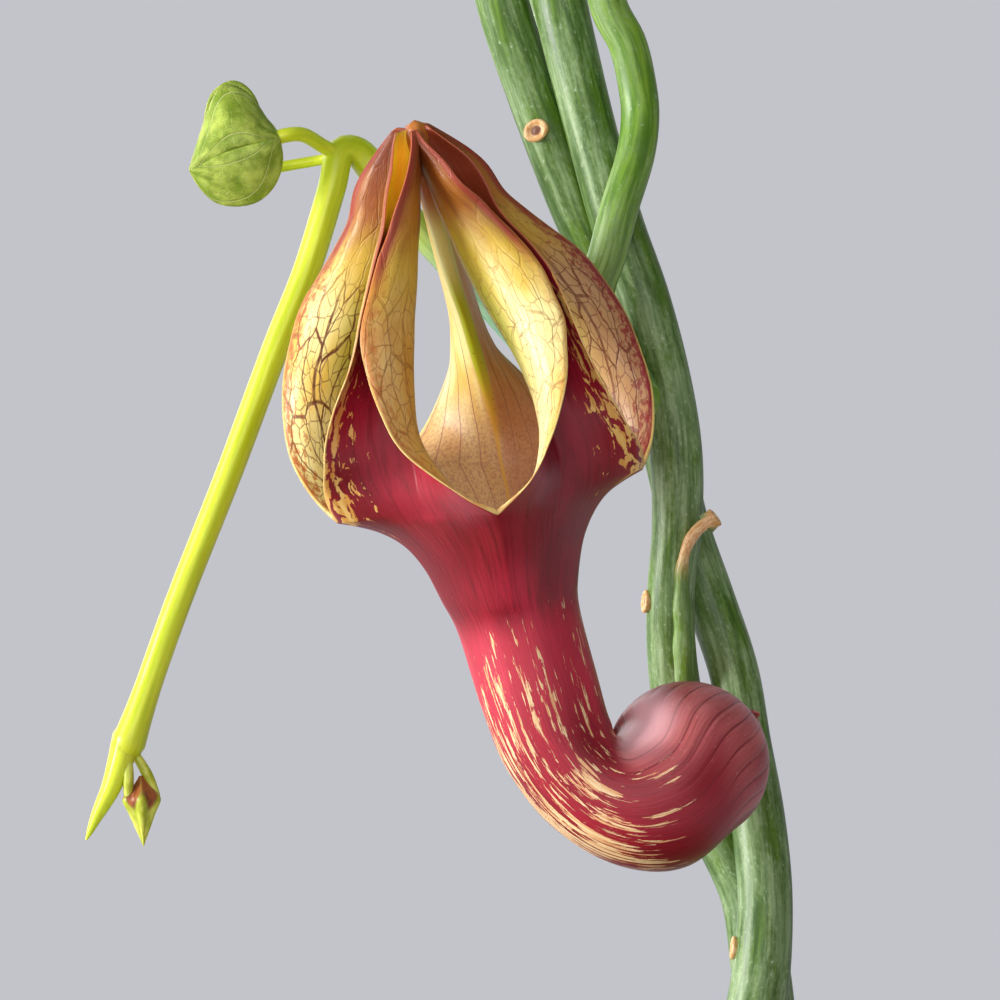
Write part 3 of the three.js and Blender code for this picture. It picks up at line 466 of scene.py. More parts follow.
def bud_finish():
    """Bud: yellow-green ridges with red-brown hollows between them, by the fields ridge and blush."""
    bud = Finish("bud", Roughness=0.42, Subsurface_Weight=0.15, Subsurface_Scale=0.0004)
    ridge, blush = bud.field("ridge"), bud.field("blush")
    mottle = bud.noise(bud.field("skin", "Vector"), (4, 4, 1.5), 3)
    green = bud.mix(mottle.step(0.4, 0.62), (176, 186, 40), (218, 222, 96))
    red = bud.mix(mottle.step(0.4, 0.6), (120, 62, 26), (172, 96, 46))
    bud.paint(Base_Color=bud.mix((blush * (mottle + 0.3) - ridge * 0.55).step(0.05, 0.4), green, red))
    return bud


def leaf_finish(name, dark, light, vein, gloss, pale_edge=0.0, relief=1.0):
    """Leaf skin: two greens in soft clouds, a fine net and paler veins that fan out from the seat, by the
    field blade, which is the place in the leaf's plane as a share of its length."""
    leaf = Finish(name, Roughness=gloss, Specular_IOR_Level=0.4, Subsurface_Weight=0.1,
                  Subsurface_Scale=0.0005)
    blade, edge = leaf.field("blade", "Vector"), leaf.field("edge")
    along, across = (leaf.node("ShaderNodeSeparateXYZ", {}, blade, output=side) for side in "XY")
    bend = leaf.noise(blade, (3, 3, 3), 2)
    reach = leaf.node("ShaderNodeVectorMath", {"operation": "LENGTH"}, blade, output="Value")
    turn = leaf.node("ShaderNodeMath", {"operation": "ARCTAN2"}, abs(across), along)
    fan = (turn + reach * 0.5 + bend * 0.12) * 1.75
    ribs = (fan.wave() * reach * 0.57).step(0.011, 0.004)
    ribs = ribs.math("MAXIMUM", ribs, abs(across).step(0.014, 0.005))
    net = leaf.cells(blade, (15, 15, 15)).step(0.06, 0.015)
    tone = leaf.noise(blade, (5, 5, 5), 4, 0.6)
    colour = leaf.mix(tone.step(0.35, 0.66), dark, light)
    colour = colour.mix(net * (0.28 * relief), vein)
    colour = colour.mix(ribs * (0.4 + 0.35 * relief), vein)
    colour = colour.mix(edge.step(0.93, 1.0) * pale_edge, vein)
    leaf.paint(Base_Color=colour)
    leaf.bump(tone * 0.4 - net * 0.5 - ribs * 1.2, 0.12 * relief, 0.8)
    return leaf


def net_on(petal, spot, warp=0.35):
    """Two nets of veins on a petal: long cells between bold veins, and small cells between fine ones."""
    sway = petal.noise(spot, (0.8, 0.6, 1), 3)
    swayed = petal.node("ShaderNodeVectorMath", {"operation": "ADD"}, spot,
                        petal.node("ShaderNodeCombineXYZ", {}, sway * warp * 2, sway * warp, 0.0))
    bold = petal.cells(swayed, (1.25, 0.42, 1), random=0.85)
    fine = petal.cells(swayed, (2.6, 1.5, 1), random=0.95)
    return bold, fine


def petal_inner_finish():
    """Inner face of the lobes, from the fields: up, height in the cage; across, 0 at the keel and 1 at the
    margin; net, the place on the lobe laid flat; and for each face tan, pink, bold, lines and freckles. Cream
    and yellow under a brown net of veins, olive-gold and then rust towards the top, a mottled band inside the
    margin, a lime flush by the keel; where lines is 1, a pale keel bar with a painted highlight at mid
    height, and straight veins instead."""
    petal = Finish("petal_inner", Roughness=0.42, Specular_IOR_Level=0.45, Subsurface_Weight=0.04,
                   Subsurface_Scale=0.0003, Subsurface_Radius=(1.0, 0.6, 0.2))
    up, across, spot = petal.field("up"), petal.field("across"), petal.field("net", "Vector")
    names = ("tan", "pink", "bold", "lines", "freckles")
    tan, pink, bold, lines, freckles = (petal.field(name) for name in names)
    soft = petal.noise(spot, (0.6, 0.25, 1), 3)
    cloud = petal.noise(spot, (1.5, 0.7, 1), 4, 0.6)
    grain = petal.noise(spot, (4.2, 2.6, 1), 4, 0.65)
    speck = petal.noise(spot, (8, 8, 1), 2)
    colour = petal.mix(soft.step(0.32, 0.6), (232, 190, 78), (250, 234, 156))
    colour = colour.mix(tan * (cloud * 0.9 + 0.35), (202, 130, 48))
    colour = colour.mix(pink * (across * 0.5 + 0.45), (180, 112, 90))
    flush = across.step(0.55, 0.05) * up.step(0.2, 0.42) * up.step(0.86, 0.7) * (1 - tan * 0.8) * (1 - lines)
    colour = colour.mix(flush, (190, 190, 52))
    far, near = net_on(petal, spot)
    middle = (across * 2 + (soft - 0.5) * 0.5 - up * 0.16).wave().step(0.05, 0.015)
    middle = middle * across.step(0.2, 0.35) * bold
    fade = up.step(0.84, 0.5) * 0.95 + 0.05
    vein = petal.mix(pink, petal.mix(bold, (150, 80, 22), (104, 42, 6)), (112, 34, 22))
    thick = far.step(0.048, 0.016) * (bold * 0.8 + 0.2) * (1 - lines)
    thin = near.step(0.07, 0.015) * (bold * 0.3 + 0.34) * (1 - lines * 0.7)
    colour = colour.mix(thin * fade, vein)
    broken = grain.step(0.35, 0.6) * 0.3 + 0.7
    colour = colour.mix(thick.math("MAXIMUM", thick, middle) * fade * broken, vein)
    ribs = (across * 4.2 + (soft - 0.5) * 0.2).wave().step(0.05, 0.015) * lines * up.step(0.5, 0.2)
    colour = colour.mix(ribs * across.step(0.06, 0.14) * 0.9, (104, 28, 16))
    stipple = lines * up.step(0.3, 0.02) * (speck * 0.7 + grain * 0.3).step(0.4, 0.66)
    colour = colour.mix(lines * up.step(0.3, 0.0) * 0.65, (208, 150, 112))
    colour = colour.mix(stipple * 0.55, (164, 96, 74))
    height = up + (cloud - 0.5) * 0.14
    colour = colour.mix(height.step(0.5, 0.68) * 0.7, (206, 168, 44))
    colour = colour.mix(height.step(0.64, 0.8), petal.mix(soft.step(0.4, 0.6), (150, 80, 22), (184, 116, 36)))
    colour = colour.mix(height.step(0.8, 0.94), (128, 56, 14))
    wide = up.step(0.1, 0.4) * 0.04 + up.step(0.4, 0.7) * 0.16
    bar = (wide + 0.03 - across).step(-0.01, 0.03) * lines
    keel = petal.mix(up.step(0.1, 0.3), (224, 166, 56), (184, 190, 36))
    # A pale cream band on the keel bar at mid height: a painted highlight.
    keel = keel.mix(up.step(0.45, 0.6), (228, 218, 134))
    keel = keel.mix(up.step(0.66, 0.8), (176, 98, 40))
    colour = colour.mix(bar, keel)
    band = petal.mix(pink.step(0.3, 0.6), (188, 98, 32), (150, 38, 42))
    band = band.mix(up.step(0.5, 0.72), (156, 60, 36))
    rim = (across + (grain - 0.5) * 0.5).step(0.82, 1.0) * (freckles * 0.7 + 0.2)
    rim = rim.math("MAXIMUM", rim, across.step(0.8, 0.93) * up.step(0.56, 0.7))
    colour = colour.mix(rim * (1 - lines * 0.6), band)
    spots = (grain + across.step(0.5, 1.0) * 0.16 * freckles).step(0.63, 0.68) * freckles
    colour = colour.mix(spots * across.step(0.35, 0.7) * up.step(0.8, 0.6) * 0.7, band)
    colour = colour.mix(speck.step(0.68, 0.73) * 0.5 * up.step(0.6, 0.3), (140, 76, 34))
    line = across.step(0.972, 0.99) * up.step(0.95, 0.55)
    colour = colour.mix(line * 0.9, petal.mix(up.step(0.2, 0.6), (246, 212, 118), (206, 128, 60)))
    petal.paint(Base_Color=colour)
    petal.bump(thick * -0.7 - thin * 0.3 + soft * 0.5, 0.05, 0.7)
    return petal


def petal_outer_finish():
    """Outside of the corolla, from the fields: up and across as inside; wrap, the place round the tube and
    along it; turn, the angle round it in turns; streaks and blotches, how dense they are; and bulb, golden,
    crease and pale, 1 where each lies. Crimson with golden blotches by the margins, rust at the top, a
    painted highlight in a lighter band round the middle of the tube, cream streaks round the bend, and a rose
    bulb with darker meridians, painted shade in the fold where it meets the tube, by crease, and a painted
    highlight on its left end, by pale."""
    petal = Finish("petal_outer", Roughness=0.42, Specular_IOR_Level=0.45, Coat_Weight=0.08,
                   Coat_Roughness=0.35)
    up, across, wrap = petal.field("up"), petal.field("across"), petal.field("wrap", "Vector")
    names = ("streaks", "bulb", "turn", "blotches", "golden", "crease", "pale")
    streaks, bulb, turn, blotches, golden, crease, pale = (petal.field(name) for name in names)
    soft = petal.noise(wrap, (0.6, 0.6, 0.16), 4)
    fine = petal.noise(wrap, (8, 8, 0.6), 3, 0.6)
    speck = petal.noise(wrap, (8, 8, 7), 2)
    red = petal.mix(soft.step(0.3, 0.72), (128, 12, 28), (196, 32, 58))
    red = red.mix(fine.step(0.5, 0.7) * 0.4, (88, 8, 18))
    red = red.mix((turn * 40 + soft * 0.8).wave().step(0.09, 0.02) * 0.3, (84, 8, 16))
    red = red.mix(speck.step(0.7, 0.76) * 0.25, (210, 96, 100))
    red = red.mix(up.step(-0.3, -0.08) * 0.45, (112, 14, 24))
    # A lighter magenta band all round the middle of the tube: a painted highlight.
    red = red.mix(up.step(-0.3, -0.42) * up.step(-0.78, -0.5) * 0.5, (230, 62, 84))
    red = red.mix(up.step(-0.6, -0.85) * 0.5, (138, 14, 30))
    cream = petal.mix(fine.step(0.4, 0.62), (228, 168, 112), (246, 212, 160))
    jagged = petal.noise(wrap, (5.4, 5.4, 0.6), 5, 0.66, 0.5)
    broad = petal.noise(wrap, (1.5, 1.5, 0.35), 3, 0.5)
    mask = (jagged * 0.6 + broad * 0.25 + fine * 0.15 + streaks * 0.19).step(0.66, 0.672)
    mask = mask * streaks.step(0.0, 0.1)
    net = petal.field("net", "Vector")
    patch = petal.noise(net, (2.6, 1.1, 1), 5, 0.62, 0.6)
    spots = (patch + blotches * 0.2).step(0.685, 0.695) * blotches.step(0, 0.3)
    colour = petal.mix(mask, red, cream)
    colour = colour.mix(spots, petal.mix(fine.step(0.4, 0.6), (228, 162, 74), (244, 198, 112)))
    colour = colour.mix(golden, petal.mix(soft.step(0.4, 0.6), (255, 224, 60), (252, 196, 50)))
    colour = colour.mix((up + soft * 0.1).step(0.62, 0.8) * (1 - golden), (150, 62, 34))
    rose = petal.mix(soft.step(0.35, 0.65), (164, 64, 68), (196, 100, 98))
    rose = rose.mix(fine.step(0.4, 0.7) * 0.4, (134, 40, 48))
    meridian = (turn * 26 + soft * 0.15).wave()
    lines = meridian.step(0.09, 0.02)
    rose = rose.mix(lines * (broad.step(0.3, 0.5) * 0.5 + 0.35), (112, 26, 36))
    rose = rose.mix(speck.step(0.64, 0.72) * 0.35, (214, 140, 138))
    # pale: a painted highlight, near-white pink, on the bulb's left end.
    rose = rose.mix(pale * 0.95, (255, 198, 202))
    # Painted shade, grey-mauve, in the fold where the tube meets the bulb.
    rose = rose.mix(crease * (1 - pale) * 0.7, (112, 62, 72))
    colour = colour.mix((bulb + soft * 0.3 - 0.15).step(0.25, 0.8) * (1 - mask * 0.85), rose)
    lip = across.step(0.975, 0.995) * up.step(-0.002, 0.01) * up.step(0.7, 0.4)
    colour = colour.mix(lip, (230, 184, 104))
    petal.paint(Base_Color=colour)
    petal.bump(fine * 0.6 + meridian.step(0.0, 0.3) * bulb * (1 - pale) * 0.8, 0.05, 0.8)
    return petal


def petal_edge_finish():
    """Cut edge of the lobes: cream, and rust towards the top."""
    edge = Finish("petal_edge", Roughness=0.5, Subsurface_Weight=0.1, Subsurface_Scale=0.0004)
    mottle = edge.noise(edge.place(), (2, 2, 2), 3)
    pale = edge.mix(mottle.step(0.4, 0.7), (244, 212, 132), (222, 164, 92))
    edge.paint(Base_Color=edge.mix(edge.field("up").step(0.35, 0.75), pale, (186, 92, 54)))
    return edge


def calyx_finish():
    """Flower stalk and sepals: rose-pink, greener towards the stem by the field shade."""
    calyx = Finish("calyx", Roughness=0.5, Subsurface_Weight=0.1, Subsurface_Scale=0.0004)
    shade = calyx.field("shade")
    mottle = calyx.noise(calyx.place(), (3, 3, 1.5), 3)
    pink = calyx.mix(mottle.step(0.4, 0.65), (176, 66, 74), (206, 116, 112))
    green = calyx.mix(mottle.step(0.4, 0.65), (110, 136, 66), (158, 166, 100))
    calyx.paint(Base_Color=calyx.mix(shade, pink, green))
    calyx.bump(mottle, 0.03, 0.5)
    return calyx


# Pot and soil


def make_pot():
    """A turned wall: its profile runs up the outside over the collar and down the inside to the drain."""
    corners = [
        (DRAIN_RADIUS, 2.4), (DRAIN_RADIUS, 0), (POT_BASE_RADIUS - 0.2, 0), (UNDER_COLLAR, COLLAR_FOOT),
        (COLLAR_RADIUS, COLLAR_FOOT + 0.4), (POT_RIM_RADIUS, POT_HEIGHT - 0.6),
        (POT_RIM_RADIUS - 0.8, POT_HEIGHT), (POT_INNER_RIM + 0.5, POT_HEIGHT),
        (POT_INNER_RIM, POT_HEIGHT - 0.8), (POT_INNER_RIM - 3.2, COLLAR_FOOT),
        (POT_BASE_RADIUS - 3.4, POT_FLOOR), (DRAIN_RADIUS, POT_FLOOR), (DRAIN_RADIUS, 2.4),
    ]
    profile = rounded(corners, 1.0)
    long = np.linalg.norm(np.diff(profile, axis=0), axis=1)
    at = np.concatenate([[0], np.cumsum(long)])
    fine = np.unique(np.concatenate([at, np.arange(0, at[-1], 1.2)]))
    profile = np.stack([np.interp(fine, at, profile[:, k]) for k in range(2)], axis=-1)
    shape = Shape()
    rings = turned(profile, 144)
    angle = np.arctan2(rings[..., 1], rings[..., 0])
    wobble = 0.08 * np.sin(3 * angle + 0.12 * rings[..., 2]) + 0.05 * np.sin(rings[..., 2] * 1.9)
    inside = ease(rings[..., 2], 1.5, 5) * ease(rings[..., 2], POT_HEIGHT - 0.3, POT_HEIGHT - 4)
    rings[..., :2] *= (1 - (wobble * 0.5 + 0.06)[..., None] * inside[..., None] / POT_RIM_RADIUS)
    shape.add(rings, around=True, caps=False)
    settle(shape.build("pot_dressed", clay_finish()), "clay", "pot")


def soil_height(x, y):
    """Height of the soil's lumpy top: crossed waves of different lengths."""
    long = np.sin(0.31 * x + 1.2) * np.cos(0.27 * y - 0.6)
    short = np.sin(0.83 * x - 0.5 * y) * np.cos(0.71 * y + 0.42 * x + 2.0)
    return SOIL_LEVEL + SOIL_LUMP * (0.55 * long + 0.45 * short)


def make_soil(draw):
    """Rings up the inside of the pot from its floor, then over the soil's top, with small crumbs on it."""
    share = np.linspace(0.01, 1, 64)[::-1]
    rings = turned(np.stack([share * SOIL_RADIUS, share * 0], axis=-1), 160)
    x, y = rings[..., 0], rings[..., 1]
    crumbs = 0.16 * np.sin(2.3 * x + 1.7 * y) * np.sin(2.9 * y - 1.1 * x) + 0.1 * draw.random(x.shape)
    rings[..., 2] = soil_height(x, y) - 0.1 + crumbs
    wall = turned([(POT_BASE_RADIUS - 3.9, POT_FLOOR + 0.3), (POT_INNER_RIM - 3.7, COLLAR_FOOT)], 160)
    shape = Shape()
    shape.add(np.concatenate([wall, rings]), around=True)
    settle(shape.build("soil_dressed", soil_finish()), "soil", "soil")


def make_grains(draw, count=GRAINS):
    """Each grain is a small ball, four rings of six points and two poles, pushed in and out at random,
    squeezed, turned and laid on the soil; all of them are worked out as one array."""
    lat = np.radians([-60, -20, 20, 60])[:, None]
    lon = np.linspace(0, 2 * np.pi, 6, endpoint=False)
    ball = np.stack([np.cos(lat) * np.cos(lon), np.cos(lat) * np.sin(lon), np.sin(lat) * np.ones(6)], axis=-1)
    ball = np.vstack([ball.reshape(-1, 3), [(0, 0, -1), (0, 0, 1)]])
    rows = np.arange(24).reshape(4, 6)
    index = np.hstack([rows, rows[:, :1]])
    below = [(24, index[0, k + 1], index[0, k]) for k in range(6)]
    above = [(25, index[3, k], index[3, k + 1]) for k in range(6)]
    kind = draw.random(count)
    size = np.where(kind > 0.81, 0.8, np.where(kind > 0.56, 0.55, 1.05)) * draw.uniform(0.5, 1.25, count)
    spans = (0.7, 1.5), (0.5, 0.9), (0.35, 0.7)
    squeeze = np.stack([draw.uniform(*span, count) for span in spans], axis=-1)
    points = ball * draw.uniform(0.78, 1.12, (count, GRAIN_POINTS, 1)) * (squeeze * size[:, None])[:, None]
    turn, tilt = draw.uniform(0, 2 * np.pi, count), draw.uniform(-0.5, 0.5, count)
    cos, sin = np.cos(turn)[:, None], np.sin(turn)[:, None]
    x, y, z = points[..., 0], points[..., 1], points[..., 2] + points[..., 0] * tilt[:, None]
    radius, where = (SOIL_RADIUS - 1.2) * np.sqrt(draw.random(count)), draw.uniform(0, 2 * np.pi, count)
    middle_x, middle_y = (radius * np.cos(where))[:, None], (radius * np.sin(where))[:, None]
    grid = np.stack([middle_x + x * cos - y * sin, middle_y + x * sin + y * cos,
                     z + soil_height(middle_x, middle_y) + 0.15 * size[:, None]], axis=-1)
    shape = Shape()
    first = np.arange(count)[:, None, None] * GRAIN_POINTS
    faces = (Shape.quads(index) + first).reshape(-1, 4).tolist()
    faces += (np.array(below + above) + first).reshape(-1, 3).tolist()
    shape.add_faces(grid, faces, kind=kind[:, None])
    settle(shape.build("grains", grain_finish(), smooth=False), "soil")


# Stems

braid_x = through(
    (SOIL_LEVEL, 1.5), (66, 3.4), (76, 4.6), (82, 4.95), (86, 4.8), (89.2, 3.9), (92.4, 3.1), (95.6, 2.55),
    (98, 2.1), (102.8, 1.5), (106, 1.05), (110, -0.15), (113.6, -1.7), (116.8, -2.75), (122, -4.3),
    (130, -5.6), (140, -6.0), (150, -4.6), (160, -2.4), (172, 0.6),
)
braid_y = through((SOIL_LEVEL, 0), (75, 0.2), (100, 0.25), (122, 0.2), (145, 1.2), (172, -0.6))
braid_turn = through(
    (SOIL_LEVEL, -245), (66, -195), (76, -135), (82, -95), (86, -77), (89.2, -45), (92.4, -17), (95.6, 16),
    (97.6, 44), (99.8, 72), (103, 94), (106, 99), (110, 109), (113.6, 124), (116.8, 136), (122, 160),
    (132, 225), (142, 300), (152, 375), (162, 440),
)
braid_width = through((SOIL_LEVEL, 2.8), (57, 1.8), (63, 1.45), (84, 1.4), (92, 1.25), (172, 1.25))
stem_radius = through((80, 1.2), (90, 1.07), (98, 0.97), (105, 1.03), (118, 1.07))


def braid_point(side, height):
    """Point on one of the twined stems: a circle about the braid's middle line, turned by the height; side
    is 1 for the left stem and -1 for the right one."""
    angle, width = np.radians(braid_turn(height)), side * braid_width(height)
    return np.stack([braid_x(height) + width * np.cos(angle), braid_y(height) + width * np.sin(angle),
                     height * np.ones_like(angle)], axis=-1)


LEFT_END = [(-6.6, -1.6, 146), (-8.2, -2.2, 151), (-7.8, -2.9, 156), (-5.8, -1.9, 161), (-5.6, 0.4, 165)]
RIGHT_END = [(-2.6, 2.6, 157), (0.4, 2.8, 162), (2.6, 0.8, 167), (1.8, -1.8, 171), (-0.4, -1.4, 174.6)]
BACK_BRANCH = [
    (-2.9, 1.0, 114.5), (-2.9, 2.9, 116.8), (-3.7, 3.6, 122), (-4.2, 5.2, 128), (-4.6, 7.4, 134),
    (-4.4, 8.8, 139),
]
FRONT_BRANCH = [
    (1.45, -0.6, 105.1), (-0.2, -1.8, 106.8), (-1.5, -2.6, 108.6), (-1.75, -3.1, 110.4), (-1.3, -3.6, 111.8),
    (-0.84, -3.6, 113.6), (-0.12, -2.8, 116), (0.05, -2.4, 117.6), (-0.08, -2.3, 118.8), (-0.46, -2.3, 120.4),
    (-1.24, -2.2, 122), (-1.5, -2.6, 126), (1.4, -3.4, 131), (5.4, -3.2, 135), (8.2, -2.0, 139),
    (8.6, -0.4, 143.5),
]
OLD_STALK = [
    (1.83, -0.4, 94.4), (1.8, -0.9, 95.8), (1.77, -1.2, 97.0), (1.71, -1.55, 98.3), (1.77, -1.85, 99.4),
    (2.02, -2.05, 100.3), (2.47, -2.1, 100.9), (2.9, -2.05, 101.15),
]
LOW_SHOOT_LEFT = [(-11, 3, SOIL_LEVEL), (-12, 3.4, 56), (-14.4, 3, 63), (-16.4, 1.6, 70), (-16, -0.4, 76)]
LOW_SHOOT_BACK = [(9, 10, SOIL_LEVEL), (10, 11, 57), (12.6, 12.6, 65), (14.2, 13, 70.5), (13.4, 11.6, 75.5)]


def rooted(points):
    """A path led down from its first point into the soil."""
    foot = np.asarray(points[0], float)
    return np.vstack([foot - [0, 0, ROOT_DEPTH], foot - [0, 0, 3], points])


def add_scar(shape, at, out, radius, stub, squeeze=0.8, reference=SKY):
    """An oval scar: a short stub, a rolled corky lip and a hollow face with a raised middle."""
    heights = [(-stub, 1.15), (0.0, 1.0), (0.12, 1.08), (0.3, 1.06), (0.38, 0.9), (0.36, 0.74), (0.2, 0.6),
               (0.16, 0.4), (0.2, 0.2), (0.22, 0.04)]
    profile = [(radius * wide, height * radius) for height, wide in heights]
    rings = turned(profile, 22, at, out, squeeze, reference)
    cork = ease(np.arange(len(profile)), 0.2, 1.4) + ease(np.arange(len(profile)), 6.2, 7.4)
    shape.add(rings, around=True, fresh=0.2, cork=cork[:, None], skin=rings)


def thick_stem(shape, side, top, end, fresh):
    """A stem from its root up the braid to the height top and out into its thin searching end."""
    heights = np.arange(SOIL_LEVEL, top, 3.0)
    path = np.vstack([rooted(braid_point(side, heights)), end])
    taper = through((0, 1), (0.6, 1), (0.8, 0.83), (0.93, 0.52), (1, 0.17))
    wide = stem_radius(even_path(path, STEM_STEPS)[:, 2])

    def radius(share):
        return wide * taper(share) * (1 + 0.018 * np.sin(share * 97) + 0.014 * np.sin(share * 41 + 1))

    shape.add_rod(path, STEM_STEPS, radius, 28, fresh=fresh, cork=0)


def scar_on_stem(shape, side, height, out, radius=0.44, reference=SKY):
    """An oval scar seated on the skin of a twined stem, out from its middle line at a height."""
    out = unit(np.array(out, float))
    at = braid_point(side, height) + out * stem_radius(height)
    add_scar(shape, at, out, radius, 1.2, reference=reference)


def make_old_stems(finish):
    """The two twined stems, each one piece with its side branch and its scars."""
    young_ends = through((0, 0.0), (0.55, 0.0), (0.72, 0.35), (1, 1.0))
    left = Shape()
    thick_stem(left, 1, 142, LEFT_END, young_ends)
    left.add_rod(BACK_BRANCH, 60, lambda share: 0.9 - 0.62 * share**2, 24, fresh=0.3, cork=0)
    scar_on_stem(left, 1, 116.9, (-0.45, -1, 0.05), 0.52, (1, 0, 0.45))
    scar_on_stem(left, 1, 83.8, (-1, -0.1, 0.1))
    settle(left.build("left_stem_dressed", finish), "old_stem", "left_stem")

    right = Shape()
    thick_stem(right, -1, 154, RIGHT_END, young_ends)
    right.add_rod(
        FRONT_BRANCH, 140, lambda share: BRANCH_RADIUS - 0.55 * np.maximum(share - 0.4, 0) ** 1.3, 24,
        fresh=lambda share: 0.75 + 0.25 * share, cork=0,
    )
    thin = through((0, 0.52), (0.4, 0.45), (0.7, 0.25), (0.9, 0.24), (1, 0.32))
    right.add_rod(OLD_STALK, 60, lambda share: thin(share) + 0.02 * np.sin(share * 31), 16,
                  fresh=0.4, cork=lambda share: ease(share, 0.55, 0.85))
    add_scar(right, (3.0, -2.0, 101.25), (0.75, -0.2, 0.6), 0.38, 1.0)
    scar_on_stem(right, -1, 97.8, (-1, -0.25, 0.1))
    settle(right.build("right_stem_dressed", finish), "old_stem", "right_stem")


def make_low_shoots(finish):
    for name, points in (("low_shoot_left", LOW_SHOOT_LEFT), ("low_shoot_back", LOW_SHOOT_BACK)):
        shape = Shape()
        radius = through((0, LOW_SHOOT_RADIUS), (0.6, 0.65), (1, 0.3))
        shape.add_rod(rooted(points), 80, radius, 18, fresh=0.9, cork=0)
        settle(shape.build(f"{name}_dressed", finish), "green_shoot", name)


# The lime shoot, its pointed end, its bud and its young leaves

LIME_SHOOT = [
    (-0.65, -1.0, 103.6), (-2.5, -0.7, 105.8), (-5.6, -0.6, 109.4), (-8.5, -0.3, 112.5), (-10.6, 0, 115.2),
    (-11.4, -0.1, 116.1), (-12.0, -0.4, 116.1), (-12.4, -0.8, 114.6), (-13.4, -1.0, 111.3),
    (-14.6, -1.1, 108.3), (-16.5, -1.2, 103.2), (-18.7, -1.2, 97.6), (-20.6, -1.1, 92.2),
]
SHOOT_TIP = [
    (-20.65, -1.1, 92.4), (-20.95, -1.1, 91.4), (-21.35, -1.1, 90.3), (-21.9, -1.1, 89.2),
    (-22.3, -1.1, 88.3),
]


def make_lime_shoot():
    """A rod over its hook, swollen there and at its end, with a grooved pointed end leaf."""
    shape = Shape()
    swell = through((0, 0.56), (0.3, 0.58), (0.36, 0.66), (0.4, 0.6), (0.5, 0.57), (0.93, 0.54), (0.97, 0.6),
                    (1, 0.7))
    # shade: 1 on the first part of the shoot, behind the flower, where its teal is partly painted shade.
    shape.add_rod(LIME_SHOOT, 220, swell, 22, shade=lambda share: ease(share, 0.34, 0.22))
    taper = through((0, 0.62), (0.15, 0.56), (0.4, 0.44), (0.7, 0.3), (0.92, 0.14), (1, 0.05))

    def groove(angle):
        return 1 - 0.14 * np.exp(-((angle - np.pi * 0.35) / 0.22) ** 2)

    shape.add_rod(SHOOT_TIP, 50, taper, 24, groove, shade=0)
    settle(shape.build("lime_shoot_dressed", lime_finish()), "lime_shoot", "lime_shoot")


def make_bud(finish):
    """A five-ridged spindle, widest at its shoulders, under two short stalks, thickest at their middles."""
    shape = Shape()
    radius = through((0, 0.12), (0.12, 0.34), (0.26, 0.66), (0.34, 0.7), (0.5, 0.52), (0.75, 0.27),
                     (0.93, 0.09), (1, 0.03))
    five = np.cos(5 * np.linspace(0, 2 * np.pi, 40, endpoint=False))
    shape.add_rod([(-20.1, -1.1, 90.75), (-20.0, -1.1, 88.05)], 39, radius, 40, lambda angle: 1 + 0.16 * five,
                  ridge=0.5 + 0.5 * five, blush=lambda share: ease(share, 0.62, 0.2))
    for stalk in (
        ((-20.62, -1.3, 91.5), (-20.6, -1.35, 90.9), (-20.62, -1.3, 90.05)),
        ((-20.3, -1.0, 91.7), (-19.85, -1.0, 90.9), (-19.5, -1.05, 90.1)),
    ):
        shape.add_rod(stalk, 24, lambda share: 0.17 + 0.05 * np.sin(np.pi * share), 12, ridge=1, blush=0)
    settle(shape.build("bud_dressed", finish), "bud", "bud")


